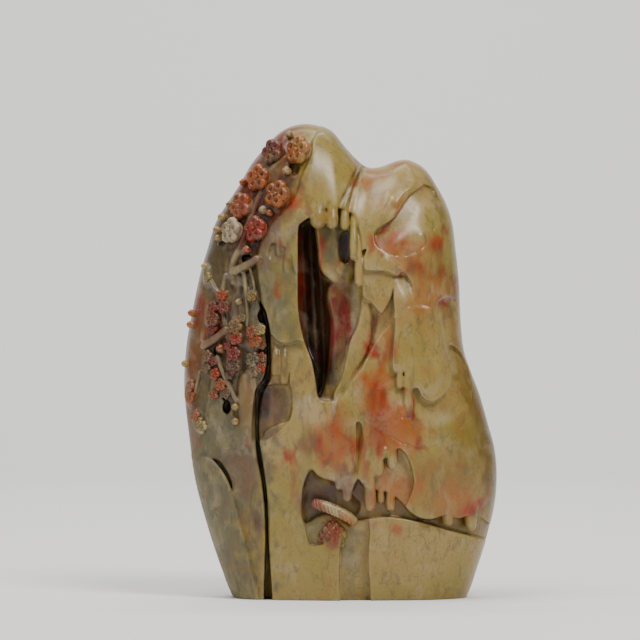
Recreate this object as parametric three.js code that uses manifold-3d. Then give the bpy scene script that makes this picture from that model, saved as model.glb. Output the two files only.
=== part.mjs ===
// Soapstone landscape carving. One polished boulder is carved as a twin-peaked mountain with
// hanging ledges that end in round drips, a deep gorge down the middle, a small cave at the
// foot, and a flowering plum tree over the left flank.
// Millimetres, +Z up. The carved face looks along -Y, and the origin is the middle of the
// flat underside.

import * as THREE from 'three';
import { mergeVertices } from 'three/addons/utils/BufferGeometryUtils.js';
import Module from 'manifold-3d';

const wasm = await Module();
wasm.setup();

// The boulder: the height of its heart, how far it bulges to the front and to the back, and
// how square its roundness is (2 would be an ellipse).
const HEART_HEIGHT = 150;
const FRONT_BULGE = 52;
const BACK_BULGE = 44;
const ROUNDNESS = 2.4;
const REACHES = [0.3, 0.55, 0.75, 0.89, 0.97];

// The front outline, clockwise from the left summit: distance across, then height. The part
// below the underside is cut away at the end.
const SILHOUETTE = [
  [-29, 300.6], [-20, 301.5], [-12, 300], [-5, 296.7], [4, 286], [11, 278.5], [16, 274.6],
  [21, 273.3], [28, 274.7], [36, 277.8], [42, 278.6], [49, 276.3], [55, 271.8], [61, 263],
  [67.5, 251], [71.5, 239], [74, 220], [76, 200], [76.8, 180], [79, 157.5], [83.5, 143.6],
  [89, 129], [94.5, 110], [98.5, 95], [100, 80], [99, 62], [94.5, 41], [88, 20], [80.5, 0],
  [58, -30], [5, -48], [-48, -30], [-68, 0], [-76, 20], [-83, 41], [-92, 74], [-96.5, 105],
  [-99.3, 134], [-98, 159], [-94.5, 180], [-88.5, 208], [-84, 223], [-79, 239],
  [-71.8, 250.7], [-63.5, 263.5], [-56, 276.5], [-47.5, 286.5], [-38, 296.3],
];

// Depths of the carving, measured out from the boulder's skin. A minus sign is sunk.
const PLUM_GROUND = -3.2;
const TRUNK_ROCK = -1;
const FOOT_SLAB = 0.9;
const PALE_TRUNK = 0.2;
const NOTCH_FLOOR = -5.5;
const GROOVE_FLOOR = -14;
const LEFT_RECESS = -9;
const GORGE_FLOOR = -30;
const GORGE_SIDE_FLOOR = -12;
const GORGE_SHELF = [-6, 13];
const BACK_TONGUE = -12;
const BACK_HOLLOW = -20;
const INNER_COLUMN = -7;
const YELLOW_SLAB = -4;
const UPPER_CURTAIN = -4.5;
const CLEFT_FLOOR = -6.5;
const LOWER_CURTAIN = -10;
const CAVE_FLOOR = -15;
const LEDGE_SIDE = -6;
const HILLOCK = -5;
const FADE_OUT = 0.8;
const FADE_BACK = 0.4;

// Outlines of the carved areas, seen from the front: distance across, then height.
const PLUM_EDGE = [
  [-25, 310], [-18.5, 295], [-17.5, 283.5], [-22.5, 269.5], [-27, 257], [-33, 247.5],
  [-42, 242], [-49, 231], [-52.5, 215.5], [-50, 189], [-45.5, 169.5], [-44.5, 138],
  [-51.5, 121.5], [-53, 101.5], [-50, 90], [-46.5, 70.5], [-44.5, 56.5], [-44.5, -6],
  [-114, -6], [-114, 310],
];
const GROOVE_EDGE = [
  [-52.5, 191.5], [-49, 170], [-48, 138], [-54, 123.5], [-55, 103.5], [-50, 70.5],
  [-48, 54], [-48, -6], [-43.5, -6], [-44.5, 58], [-49, 94.5], [-48.5, 124.5],
  [-44, 137.5], [-44.5, 167.5], [-48.5, 182],
];
const TRUNK_ROCK_EDGE = [
  [-80, 137.5], [-72, 128.5], [-63, 110], [-53, 97], [-49, 80.5], [-47, 70.5], [-48.5, 54],
  [-49, -6], [-110, -6], [-110, 80], [-85, 93],
];
const FOOT_SLAB_EDGE = [
  [-108, 79.5], [-94.5, 85], [-92, 88], [-85, 90.5], [-81.5, 89], [-76, 84], [-72, 77.5],
  [-69.5, 71], [-67.5, 63], [-63, 44], [-56.5, 25], [-53, -6], [-108, -6],
];
const NOTCH_EDGE = [
  [-87, 94], [-79.5, 93.5], [-72, 86], [-66, 73], [-66.5, 66], [-69.5, 71], [-76, 84],
];
const PALE_TRUNK_EDGE = [
  [-63.5, 143.5], [-52.5, 141], [-52.5, 126], [-53.5, 101], [-56.5, 88], [-62.5, 101],
  [-64.5, 126],
];
const LEFT_CREASE = [[-45.5, 169.5], [-43, 166.5], [-37, 162], [-26, 163], [-22.5, 164.5]];
const LEFT_STEP = { depth: 3.4, width: 36 };
const LEFT_STEP_EDGE = [
  ...LEFT_CREASE, [-17, 150], [-14.5, 133.5], [-14, 124], [-31.5, 121], [-46, 121],
];
const LEFT_RECESS_EDGE = [
  [-51.5, 123.5], [-48, 133.5], [-44, 140], [-37, 139], [-31.5, 137.5], [-31.5, 114],
  [-36, 113.5], [-44, 109], [-48.5, 102.5], [-53, 101],
];
const GORGE_EDGE = [
  [-20, 238], [-26, 225.5], [-26.5, 213], [-26, 182], [-22.5, 164.5], [-17, 150],
  [-14.5, 133.5], [-13, 126.5], [-8, 124.5], [-2, 126.5], [4, 131.5], [16.5, 152],
  [28.5, 170], [34, 179], [33.5, 189], [32, 201], [15, 206.5], [12.5, 227], [11.5, 240.5],
  [7.5, 247], [-7.5, 249],
];
const BACK_TONGUE_EDGE = [
  [-15, 252], [-14.5, 220.5], [-13, 208], [-7.5, 201], [0.5, 198.5], [7.5, 201],
  [11.5, 209], [13, 252],
];
const BACK_HOLLOW_EDGE = [
  [0.5, 233.5], [7, 232], [7.5, 217.5], [4.5, 211.5], [0, 214], [-1.5, 224.5],
];
const INNER_COLUMN_EDGE = [
  [13, 198], [23, 198], [23.5, 173], [16.5, 157.5], [1, 131], [-3, 129], [3, 142], [12, 165],
];
const YELLOW_SLAB_EDGE = [
  [15, 215], [34, 211], [34.2, 194], [26.5, 180], [20, 183.5], [16.5, 188.5], [14.5, 198.5],
];
const RIGHT_CREASE = [
  [53, 262], [45.5, 257.5], [40.5, 253.5], [36.5, 246.5], [33.5, 240.5], [27.5, 235.5],
  [21.5, 231], [16.5, 222.5], [14.5, 215], [15, 207.5],
];
const RIGHT_STEP_EDGE = [
  ...RIGHT_CREASE, [32, 203.5], [39, 207.5], [54, 213], [61.5, 233], [59, 250],
];
const RIGHT_STEP = { depth: 3, width: 22 };
const TONGUE_CREASE = [
  [33.5, 181], [33, 144.5], [39, 144.5], [39.5, 131], [48, 131], [51.5, 127.5],
  [56.5, 125.5], [61.5, 126.5], [66, 131.5], [69.5, 137.5], [70.5, 142.5], [67.5, 157.5],
  [64.5, 175],
];
const TONGUE_STEP_EDGE = [
  ...TONGUE_CREASE, [74, 160], [78, 138], [72, 106], [54, 97], [36.5, 103], [7.5, 124],
  [16.5, 152], [28.5, 170],
];
const TONGUE_STEP = { depth: 4, width: 26 };
const CRESCENT = [[59, 181.5], [61, 186], [63.5, 189], [67, 190.5], [70, 189.5]];
const CRESCENT_EDGE = [...CRESCENT, [69, 172], [61, 168]];
const CRESCENT_STEP = { depth: 2.8, width: 13 };
const UPPER_CURTAIN_EDGE = [
  [24, 82], [24, 96], [36.5, 96.5], [41.5, 90.5], [44.5, 84.5], [46, 75.5], [43, 67],
  [39, 58], [27.5, 58], [21.5, 60],
];
const CLEFT_EDGE = [
  [12, 113.5], [14.5, 108.5], [17, 94.5], [16, 75.5], [15, 58], [7.5, 58], [7, 75.5],
  [9, 94.5],
];
const LOWER_CURTAIN_EDGE = [
  [7, 64.5], [22.5, 67], [34, 65], [38.5, 61], [44, 55.5], [50.5, 52.5], [58.5, 52.5],
  [63.5, 54], [72, 53], [84, 51], [102, 36], [79.5, 41], [67.5, 43.5], [54, 48],
  [42, 51], [29.5, 53.5], [17, 52], [9.5, 50.5], [4.5, 46.5],
];
const CAVE_EDGE = [
  [-18.5, 82.5], [-22, 73.5], [-23.5, 64.5], [-23.5, 54], [-22, 48], [-17.5, 34.5],
  [7.5, 34.5], [10.5, 50.5], [15, 58], [8, 63], [1.5, 70.5], [-3, 75], [-9, 75.5],
  [-14, 78],
];
const LEDGE_SIDE_EDGE = [[3, 48], [16.5, 53.5], [17, 38], [16, -6], [3, -6]];
const HILLOCK_EDGE = [
  [-25, -6], [-24, 34.5], [-22, 46.5], [-17, 51.5], [-11.5, 55.5], [-4, 56.5], [5.5, 50.5],
  [8, 34.5], [9, -6],
];

// The two shallow channels that run from the saddle down to the hanging drips.
const SADDLE_CHANNELS = [
  [[12.5, 277], [7, 263.5], [1, 251], [-1.5, 241]],
  [[16, 275], [12, 264.5], [8.5, 255], [5.5, 242]],
];
const CHANNEL_RADIUS = 1.5;

// Hanging drips: distance across, height of the root, height of the tip, radius, skin depth.
const DRIPS = [
  [-14, 259, 234, 5.3, 0.2],
  [-4.6, 254, 233.5, 4, -0.5],
  [3.9, 250, 235, 2.9, -1],
  [8.2, 249, 214, 2.4, -0.6],
  [11.8, 240, 197, 2.4, -1.4],
  [-38.7, 227, 216, 2.2, 0.2],
  [-33.7, 222, 205, 2.7, 0.4],
  [-40, 156, 138, 3, -1.2],
  [-34.7, 152, 135.8, 2.7, -0.6],
  [36.4, 147, 133.5, 2, -1],
  [42.4, 148, 114, 3.2, -0.6],
  [24, 99, 78.5, 3.6, -0.5],
  [32.6, 100, 83, 3.3, -0.5],
  [19.3, 83, 57, 3.1, -0.8],
  [25, 71, 61.5, 2.2, -4.5],
  [31.4, 69, 56, 2.8, -4],
  [67.6, 61, 46.5, 3.3, -0.4],
  [81.4, 58, 43.5, 3.2, -0.4],
  [4.2, 92, 63, 3.1, -0.8],
  [-1.3, 85, 71, 2.2, -2],
];
const DRIP_SIDES = 6;
const DRIP_TIP = [[0, 0], [0.78, 0.3], [1, 1.3]];
const DRIP_NECK = 0.82;
const DRIP_SEAT = 0.35;
const DRIP_ROOT_SEAT = 1.1;

// The plum tree. Boughs follow the skin: radius, skin depth, then their way.
const BOUGHS = [
  {
    radius: 2.9,
    sunk: -2,
    way: [[-29, 280], [-40, 275], [-51, 260], [-59, 236], [-66, 215], [-68, 203]],
  },
  { radius: 2.7, sunk: 0.4, way: [[-69, 204.5], [-61, 209.5], [-52.5, 214]] },
  { radius: 1.3, sunk: -1.4, way: [[-60.5, 207], [-59, 190.5], [-58, 172.5]] },
  { radius: 2.7, sunk: 0.2, way: [[-86, 158.5], [-78, 165], [-71, 170.5]] },
  { radius: 1.9, sunk: -0.6, way: [[-77.5, 156], [-72.5, 143.5], [-65, 126]] },
  { radius: 1.6, sunk: -2.4, way: [[-79.5, 196], [-74, 176], [-73, 158]] },
];
const BOUGH_SIDES = 5;
const CHANNEL_SIDES = 4;
const CHANNEL_SUNK = 0.3;

// Open blossoms: distance across, height, radius, turn in turns.
const BLOSSOMS = [
  [-26.5, 284, 8.6, 0.1],
  [-42, 283.5, 7.8, 0.02],
  [-51.5, 266.5, 8.2, 0.07],
  [-39.5, 256.5, 8.8, 0.12],
  [-63.5, 248, 7.8, 0.04],
  [-69, 233.5, 7.8, 0.15],
  [-53.5, 233, 8.2, 0.09],
];
const PETALS = 5;
const PETAL_DEPTH = 0.19;
const BLOSSOM_SEAT = -0.6;

// Profiles from the back to the middle of the face, in shares of the flower's radius.
const BLOSSOM_PROFILE = [[0, -0.9], [1, 0.05], [0.76, 0.24], [0.34, 0.02], [0, 0.3]];
const BUTTON_PROFILE = [[0, -1.6], [1, 0.3], [0, 0]];
const BUD_PROFILE = [[0, -2], [1, 0], [0, 0.9]];
const BUD_SIDES = 6;

// Clusters of small blossoms: middle, number, spread across and up.
const CLUSTERS = [
  { middle: [-76.5, 181], count: 6, spread: [5.5, 11] },
  { middle: [-66, 162], count: 5, spread: [4, 14] },
  { middle: [-53.5, 158], count: 5, spread: [4, 14.5] },
  { middle: [-84, 149.5], count: 2, spread: [2.5, 6.5] },
  { middle: [-76.5, 140], count: 3, spread: [4, 11] },
  { middle: [-94.5, 130], count: 2, spread: [2.5, 7.5] },
  { middle: [-89.5, 113.5], count: 3, spread: [3.5, 7] },
];
const SMALL_BLOSSOM_RADIUS = 3.4;
const SMALL_BLOSSOM_SEAT = -0.8;
const FIRST_SHARE = 0.35;
const GOLDEN_TURN = Math.PI * (3 - Math.sqrt(5));

// Closed buds, by place.
const BUDS = [
  [-33.5, 270.5], [-31, 294], [-49, 245], [-44.5, 243], [-59, 220], [-71, 248.5],
  [-77, 241.5], [-80.5, 233], [-87, 210], [-94.5, 180.5], [-96.3, 172], [-98.2, 148],
  [-65.5, 121.5], [-65.5, 112], [-63.5, 187.5],
];
const BUD_RADIUS = 2.6;
const BUD_SEAT = -1;

// The pine at the cave's mouth: a crown, and a ribbed bough above it.
const PINE_CROWN = { at: [-4.5, 42], across: 10, tall: 13, thick: 9, sunk: -8.5 };
const PINE_SIDES = 10;
const PINE_RINGS = 7;
const RIBBED_BOUGH = { from: [-15.5, 61], to: [9, 51.5], radius: 3.1, ribs: 7, sunk: -5 };
const RIB_VALLEY = 0.8;
const END_BEVEL = 0.02;

// Plain sunk terraces on the back: each one's edge, and the drips that hang over it.
const BACK_TERRACES = [
  {
    edge: [
      [-70, 214], [-48, 196], [-20, 203], [8, 186], [34, 196], [66, 178], [-10, 156], [-66, 178],
    ],
    drips: [[-48, 206, 185, 3.6], [8, 196, 173, 4]],
  },
  {
    edge: [
      [-84, 118], [-52, 96], [-22, 104], [12, 84], [44, 96], [90, 74], [4, 46], [-72, 74],
    ],
    drips: [[-52, 106, 84, 4], [12, 94, 71, 4.4]],
  },
];
const BACK_TERRACE = -2.6;

const FRONT = -1;
const BACK = 1;
const OUTSIDE = 110;
const WELD = 1e-4;
const SKIN_CELL = 11;
const CURVE_STEPS = 720;

// The outline as a smooth closed line, and its reach from the heart by angle.
const outlineCurve = new THREE.CatmullRomCurve3(
  SILHOUETTE.map(([x, z]) => new THREE.Vector3(x, 0, z)), true, 'centripetal',
);
const reachTable = outlineCurve.getPoints(CURVE_STEPS)
  .map((point) => ({
    angle: Math.atan2(point.z - HEART_HEIGHT, point.x),
    reach: Math.hypot(point.x, point.z - HEART_HEIGHT),
  }))
  .sort((a, b) => a.angle - b.angle);

function outlineReach(angle) {
  let low = 0;
  let high = reachTable.length - 1;
  while (high - low > 1) {
    const middle = (low + high) >> 1;
    if (reachTable[middle].angle > angle) high = middle;
    else low = middle;
  }
  const a = reachTable[low];
  const b = reachTable[high];
  const share = THREE.MathUtils.clamp((angle - a.angle) / (b.angle - a.angle || 1), 0, 1);
  return a.reach + (b.reach - a.reach) * share;
}

function bulge(reach) {
  return (1 - Math.min(1, reach) ** ROUNDNESS) ** (1 / ROUNDNESS);
}

// The depth of the boulder's skin behind a point of the front view.
function skin(x, z, side) {
  const up = z - HEART_HEIGHT;
  const reach = Math.hypot(x, up) / outlineReach(Math.atan2(up, x));
  return side * (side === FRONT ? FRONT_BULGE : BACK_BULGE) * bulge(reach);
}

function skinPoint(x, z, lift, side = FRONT) {
  return new THREE.Vector3(x, skin(x, z, side) + side * lift, z);
}

function outward(x, z, side = FRONT) {
  const step = 1;
  const across = (skin(x + step, z, side) - skin(x - step, z, side)) / (2 * step);
  const up = (skin(x, z + step, side) - skin(x, z - step, side)) / (2 * step);
  return new THREE.Vector3(-across * side, side, -up * side).normalize();
}

// A closed geometry as a solid, with its doubled vertices joined and empty faces dropped.
function solidOf(geometry) {
  geometry.deleteAttribute('normal');
  geometry.deleteAttribute('uv');
  const merged = mergeVertices(geometry, WELD);
  const corners = [];
  for (let i = 0; i < merged.index.count; i += 3) {
    const [a, b, c] = [0, 1, 2].map((n) => merged.index.getX(i + n));
    if (a !== b && b !== c && c !== a) corners.push(a, b, c);
  }
  return new wasm.Manifold(new wasm.Mesh({
    numProp: 3,
    vertProperties: new Float32Array(merged.attributes.position.array),
    triVerts: new Uint32Array(corners),
  }));
}

function meshGeometry(positions, index) {
  const geometry = new THREE.BufferGeometry();
  geometry.setAttribute('position', new THREE.Float32BufferAttribute(positions, 3));
  geometry.setIndex(index);
  return geometry;
}

// The plain boulder: rings of the outline, drawn in towards the heart, front and back.
function boulder() {
  const sides = SILHOUETTE.length;
  const levels = [
    ...REACHES.map((reach) => [reach, BACK_BULGE]),
    [1, 0],
    ...REACHES.toReversed().map((reach) => [reach, -FRONT_BULGE]),
  ];
  const positions = [0, BACK_BULGE, HEART_HEIGHT];
  for (const [reach, depth] of levels) {
    for (const [x, z] of SILHOUETTE) {
      positions.push(x * reach, depth * bulge(reach), HEART_HEIGHT + (z - HEART_HEIGHT) * reach);
    }
  }
  positions.push(0, -FRONT_BULGE, HEART_HEIGHT);
  const index = [];
  const at = (level, side) => 1 + level * sides + (side % sides);
  const last = 1 + levels.length * sides;
  for (let side = 0; side < sides; side += 1) {
    index.push(0, at(0, side), at(0, side + 1));
    for (let level = 0; level + 1 < levels.length; level += 1) {
      index.push(at(level, side), at(level + 1, side), at(level + 1, side + 1));
      index.push(at(level, side), at(level + 1, side + 1), at(level, side + 1));
    }
    index.push(last, at(levels.length - 1, side + 1), at(levels.length - 1, side));
  }
  return solidOf(meshGeometry(positions, index));
}

const blank = boulder();

// The area's outline drawn straight through one half of the stone.
function prism(edge, side) {
  const shape = new THREE.Shape(edge.map(([x, z]) => new THREE.Vector2(x, z)));
  const geometry = new THREE.ExtrudeGeometry(shape, { depth: OUTSIDE, bevelEnabled: false });
  geometry.rotateX(Math.PI / 2);
  if (side === BACK) geometry.translate(0, OUTSIDE, 0);
  return solidOf(geometry);
}

// The air in front of the area, down to the skin at a lift that varies over it.
function airBlock(edge, lift, side) {
  const box = new THREE.Box2().setFromPoints(edge.map(([x, z]) => new THREE.Vector2(x, z)));
  box.expandByScalar(1);
  const size = box.getSize(new THREE.Vector2());
  const columns = Math.max(3, Math.ceil(size.x / SKIN_CELL));
  const rows = Math.max(3, Math.ceil(size.y / SKIN_CELL));
  const positions = [];
  for (const onSkin of [true, false]) {
    for (let row = 0; row <= rows; row += 1) {
      for (let column = 0; column <= columns; column += 1) {
        const x = box.min.x + (size.x * column) / columns;
        const z = box.min.y + (size.y * row) / rows;
        positions.push(x, onSkin ? skin(x, z, side) + side * lift(x, z) : side * (OUTSIDE - 1), z);
      }
    }
  }
  const layer = (rows + 1) * (columns + 1);
  const at = (row, column, outer) => row * (columns + 1) + column + (outer ? layer : 0);
  const index = [];
  const face = (a, b, c, d) => index.push(a, b, c, a, c, d);
  for (let row = 0; row < rows; row += 1) {
    for (let column = 0; column < columns; column += 1) {
      const corners = [[0, 0], [1, 0], [1, 1], [0, 1]].map(([r, c]) => [row + r, column + c]);
      face(...corners.map(([r, c]) => at(r, c, false)));
      face(...corners.toReversed().map(([r, c]) => at(r, c, true)));
    }
  }
  for (let column = 0; column < columns; column += 1) {
    face(at(0, column), at(0, column + 1), at(0, column + 1, true), at(0, column, true));
    face(at(rows, column, true), at(rows, column + 1, true), at(rows, column + 1), at(rows, column));
  }
  for (let row = 0; row < rows; row += 1) {
    face(at(row, 0, true), at(row + 1, 0, true), at(row + 1, 0), at(row, 0));
    face(at(row, columns), at(row + 1, columns), at(row + 1, columns, true), at(row, columns, true));
  }
  if (side === BACK) index.reverse();
  return solidOf(meshGeometry(positions, index));
}

// The carving is sunk to the lift below the skin, or built out to it, inside the area's edge.
// A level lift moves the whole boulder's skin; one that varies gets a block of its own.
function cut(stone, edge, lift, side = FRONT) {
  const area = prism(edge, side);
  if (typeof lift === 'number') return stone.subtract(area.subtract(blank.translate(0, side * lift, 0)));
  return stone.subtract(area.intersect(airBlock(edge, lift, side)));
}

function raise(stone, edge, lift, side = FRONT) {
  return stone.add(prism(edge, side).intersect(blank.translate(0, side * lift, 0)));
}

function distanceTo(line, x, z) {
  let nearest = Infinity;
  for (let i = 0; i + 1 < line.length; i += 1) {
    const [ax, az] = line[i];
    const [bx, bz] = line[i + 1];
    const along = ((x - ax) * (bx - ax) + (z - az) * (bz - az)) / ((bx - ax) ** 2 + (bz - az) ** 2);
    const share = THREE.MathUtils.clamp(along, 0, 1);
    nearest = Math.min(nearest, Math.hypot(x - ax - (bx - ax) * share, z - az - (bz - az) * share));
  }
  return nearest;
}

function within(edge, x, z) {
  let inside = false;
  for (let i = 0, j = edge.length - 1; i < edge.length; j = i, i += 1) {
    const [ax, az] = edge[i];
    const [bx, bz] = edge[j];
    if ((az > z) !== (bz > z) && x < ax + ((bx - ax) * (z - az)) / (bz - az)) inside = !inside;
  }
  return inside;
}

// A step that is deepest along a crease line and runs out to the skin over the width. On the
// crease's far side it goes on sinking, so that the step keeps its depth right up to the line.
function fadeFrom(line, edge, { depth, width }) {
  return (x, z) => {
    const away = distanceTo(line, x, z) * (within(edge, x, z) ? 1 : -1);
    const share = THREE.MathUtils.clamp(away / width, -FADE_BACK, 1);
    return -depth + (depth + FADE_OUT) * share;
  };
}

// The gorge is deepest along its left wall and shelves up to the right.
function gorgeFloor(x) {
  const shelf = THREE.MathUtils.smoothstep(x, ...GORGE_SHELF);
  return GORGE_FLOOR + (GORGE_SIDE_FLOOR - GORGE_FLOOR) * shelf;
}

function place(geometry, position, along, spin = 0) {
  geometry.rotateZ(spin);
  geometry.applyQuaternion(new THREE.Quaternion().setFromUnitVectors(new THREE.Vector3(0, 0, 1), along));
  geometry.translate(position.x, position.y, position.z);
  return solidOf(geometry);
}

function scaled(profile, size) {
  return profile.map((point) => point.map((value) => value * size));
}

// A lathe profile of [radius, height] pairs, turned about +Z.
function turned(profile, sides) {
  const points = profile.map(([radius, height]) => new THREE.Vector2(radius, height));
  return new THREE.LatheGeometry(points, sides).rotateX(Math.PI / 2);
}

function drip([x, root, tip, radius, lift], side = FRONT) {
  const bottom = skinPoint(x, tip, lift - radius * DRIP_SEAT, side);
  const top = skinPoint(x, root, lift - radius * DRIP_ROOT_SEAT, side);
  const way = top.clone().sub(bottom);
  const length = way.length();
  const profile = [
    ...scaled(DRIP_TIP, radius), [radius * DRIP_NECK, length], [0, length + radius],
  ];
  return place(turned(profile, DRIP_SIDES), bottom, way.normalize());
}

// A turned shape whose round is drawn in between the petals.
function flower(profile, radius) {
  const geometry = turned(scaled(profile, radius), 2 * PETALS);
  const position = geometry.attributes.position;
  for (let i = 0; i < position.count; i += 1) {
    const angle = Math.atan2(position.getY(i), position.getX(i));
    const lobe = 1 - PETAL_DEPTH + PETAL_DEPTH * Math.cos(PETALS * angle);
    position.setXY(i, position.getX(i) * lobe, position.getY(i) * lobe);
  }
  return geometry;
}

// An open blossom faces out from the stone: dished petals round a raised knob.
function blossom([x, z, radius, turn]) {
  const seat = skinPoint(x, z, BLOSSOM_SEAT);
  return place(flower(BLOSSOM_PROFILE, radius), seat, outward(x, z), turn * 2 * Math.PI);
}

// A cluster's small blossoms are dished buttons, spread like the seeds of a sunflower.
function cluster({ middle, count, spread }) {
  return Array.from({ length: count }, (_, n) => {
    const reach = Math.sqrt((n + FIRST_SHARE) / count);
    const angle = n * GOLDEN_TURN;
    const x = middle[0] + spread[0] * reach * Math.cos(angle);
    const z = middle[1] + spread[1] * reach * Math.sin(angle);
    const seat = skinPoint(x, z, SMALL_BLOSSOM_SEAT);
    return place(flower(BUTTON_PROFILE, SMALL_BLOSSOM_RADIUS), seat, outward(x, z), angle);
  });
}

function bud([x, z]) {
  const geometry = turned(scaled(BUD_PROFILE, BUD_RADIUS), BUD_SIDES);
  return place(geometry, skinPoint(x, z, BUD_SEAT), outward(x, z));
}

// A rod of even radius along a way on the skin.
function rod(way, radius, sunk, sides) {
  const curve = new THREE.CatmullRomCurve3(way.map(([x, z]) => skinPoint(x, z, sunk)));
  const section = new THREE.Shape();
  section.absarc(0, 0, radius, 0, 2 * Math.PI);
  const geometry = new THREE.ExtrudeGeometry(section, {
    steps: way.length + 1, curveSegments: sides, bevelEnabled: false, extrudePath: curve,
  });
  return solidOf(geometry);
}

function pineCrown({ at, across, tall, thick, sunk }) {
  const geometry = new THREE.SphereGeometry(1, PINE_SIDES, PINE_RINGS).scale(across, thick, tall);
  const middle = skinPoint(at[0], at[1], sunk);
  geometry.translate(middle.x, middle.y, middle.z);
  return solidOf(geometry);
}

function ribbedBough({ from, to, radius, ribs, sunk }) {
  const start = skinPoint(...from, sunk);
  const way = skinPoint(...to, sunk).sub(start);
  const length = way.length();
  const profile = [[0, 0]];
  for (let rib = 0; rib < ribs; rib += 1) {
    const valley = Math.max(END_BEVEL, rib / ribs);
    profile.push([radius * RIB_VALLEY, length * valley], [radius, (length * (rib + 0.5)) / ribs]);
  }
  profile.push([radius * RIB_VALLEY, length * (1 - END_BEVEL)], [0, length]);
  return place(turned(profile, DRIP_SIDES), start, way.normalize());
}

function carveFront(boulderStone) {
  let stone = boulderStone;
  stone = cut(stone, PLUM_EDGE, PLUM_GROUND);
  stone = raise(stone, TRUNK_ROCK_EDGE, TRUNK_ROCK);
  stone = raise(stone, PALE_TRUNK_EDGE, PALE_TRUNK);
  stone = cut(stone, NOTCH_EDGE, NOTCH_FLOOR);
  stone = raise(stone, FOOT_SLAB_EDGE, FOOT_SLAB);
  stone = cut(stone, LEFT_STEP_EDGE, fadeFrom(LEFT_CREASE, LEFT_STEP_EDGE, LEFT_STEP));
  stone = cut(stone, LEFT_RECESS_EDGE, LEFT_RECESS);
  stone = cut(stone, GROOVE_EDGE, GROOVE_FLOOR);
  stone = cut(stone, RIGHT_STEP_EDGE, fadeFrom(RIGHT_CREASE, RIGHT_STEP_EDGE, RIGHT_STEP));
  stone = cut(stone, TONGUE_STEP_EDGE, fadeFrom(TONGUE_CREASE, TONGUE_STEP_EDGE, TONGUE_STEP));
  stone = cut(stone, CRESCENT_EDGE, fadeFrom(CRESCENT, CRESCENT_EDGE, CRESCENT_STEP));
  stone = cut(stone, GORGE_EDGE, gorgeFloor);
  stone = raise(stone, BACK_TONGUE_EDGE, BACK_TONGUE);
  stone = cut(stone, BACK_HOLLOW_EDGE, BACK_HOLLOW);
  stone = raise(stone, INNER_COLUMN_EDGE, INNER_COLUMN);
  stone = raise(stone, YELLOW_SLAB_EDGE, YELLOW_SLAB);
  stone = cut(stone, UPPER_CURTAIN_EDGE, UPPER_CURTAIN);
  stone = cut(stone, CLEFT_EDGE, CLEFT_FLOOR);
  stone = cut(stone, LOWER_CURTAIN_EDGE, LOWER_CURTAIN);
  stone = cut(stone, LEDGE_SIDE_EDGE, LEDGE_SIDE);
  stone = cut(stone, CAVE_EDGE, CAVE_FLOOR);
  stone = raise(stone, HILLOCK_EDGE, HILLOCK);
  for (const way of SADDLE_CHANNELS) {
    stone = stone.subtract(rod(way, CHANNEL_RADIUS, CHANNEL_SUNK, CHANNEL_SIDES));
  }
  return stone;
}

function carveBack(frontCarved) {
  let stone = frontCarved;
  for (const { edge, drips } of BACK_TERRACES) {
    stone = cut(stone, edge, BACK_TERRACE, BACK);
    for (const row of drips) stone = stone.add(drip([...row, 0], BACK));
  }
  return stone;
}

function carvedStone() {
  const parts = [
    ...DRIPS.map((row) => drip(row)),
    ...BOUGHS.map(({ way, radius, sunk }) => rod(way, radius, sunk, BOUGH_SIDES)),
    ...BLOSSOMS.map(blossom),
    ...CLUSTERS.flatMap(cluster),
    ...BUDS.map(bud),
    pineCrown(PINE_CROWN),
    ribbedBough(RIBBED_BOUGH),
  ];
  let stone = carveBack(carveFront(blank));
  for (const part of parts) stone = stone.add(part);
  const below = new THREE.BoxGeometry(4 * OUTSIDE, 4 * OUTSIDE, OUTSIDE);
  return stone.subtract(solidOf(below.translate(0, 0, -OUTSIDE / 2)));
}

function geometryOf(solid) {
  const mesh = solid.getMesh();
  const geometry = meshGeometry(mesh.vertProperties, Array.from(mesh.triVerts));
  geometry.computeBoundingBox();
  const middle = geometry.boundingBox.getCenter(new THREE.Vector3());
  geometry.translate(-middle.x, -middle.y, 0);
  geometry.computeVertexNormals();
  return geometry;
}

const soapstone = new THREE.MeshStandardMaterial({
  color: 0xa89a78,
  roughness: 0.3,
  metalness: 0,
});

const carving = new THREE.Group();
const carvedMountain = new THREE.Mesh(geometryOf(carvedStone()), soapstone);
carvedMountain.name = 'carved_mountain';
carving.add(carvedMountain);

export default carving;
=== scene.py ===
import math

import bpy
import numpy as np
from bpy.props import FloatProperty, FloatVectorProperty, IntProperty, PointerProperty
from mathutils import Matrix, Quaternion, Vector


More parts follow.
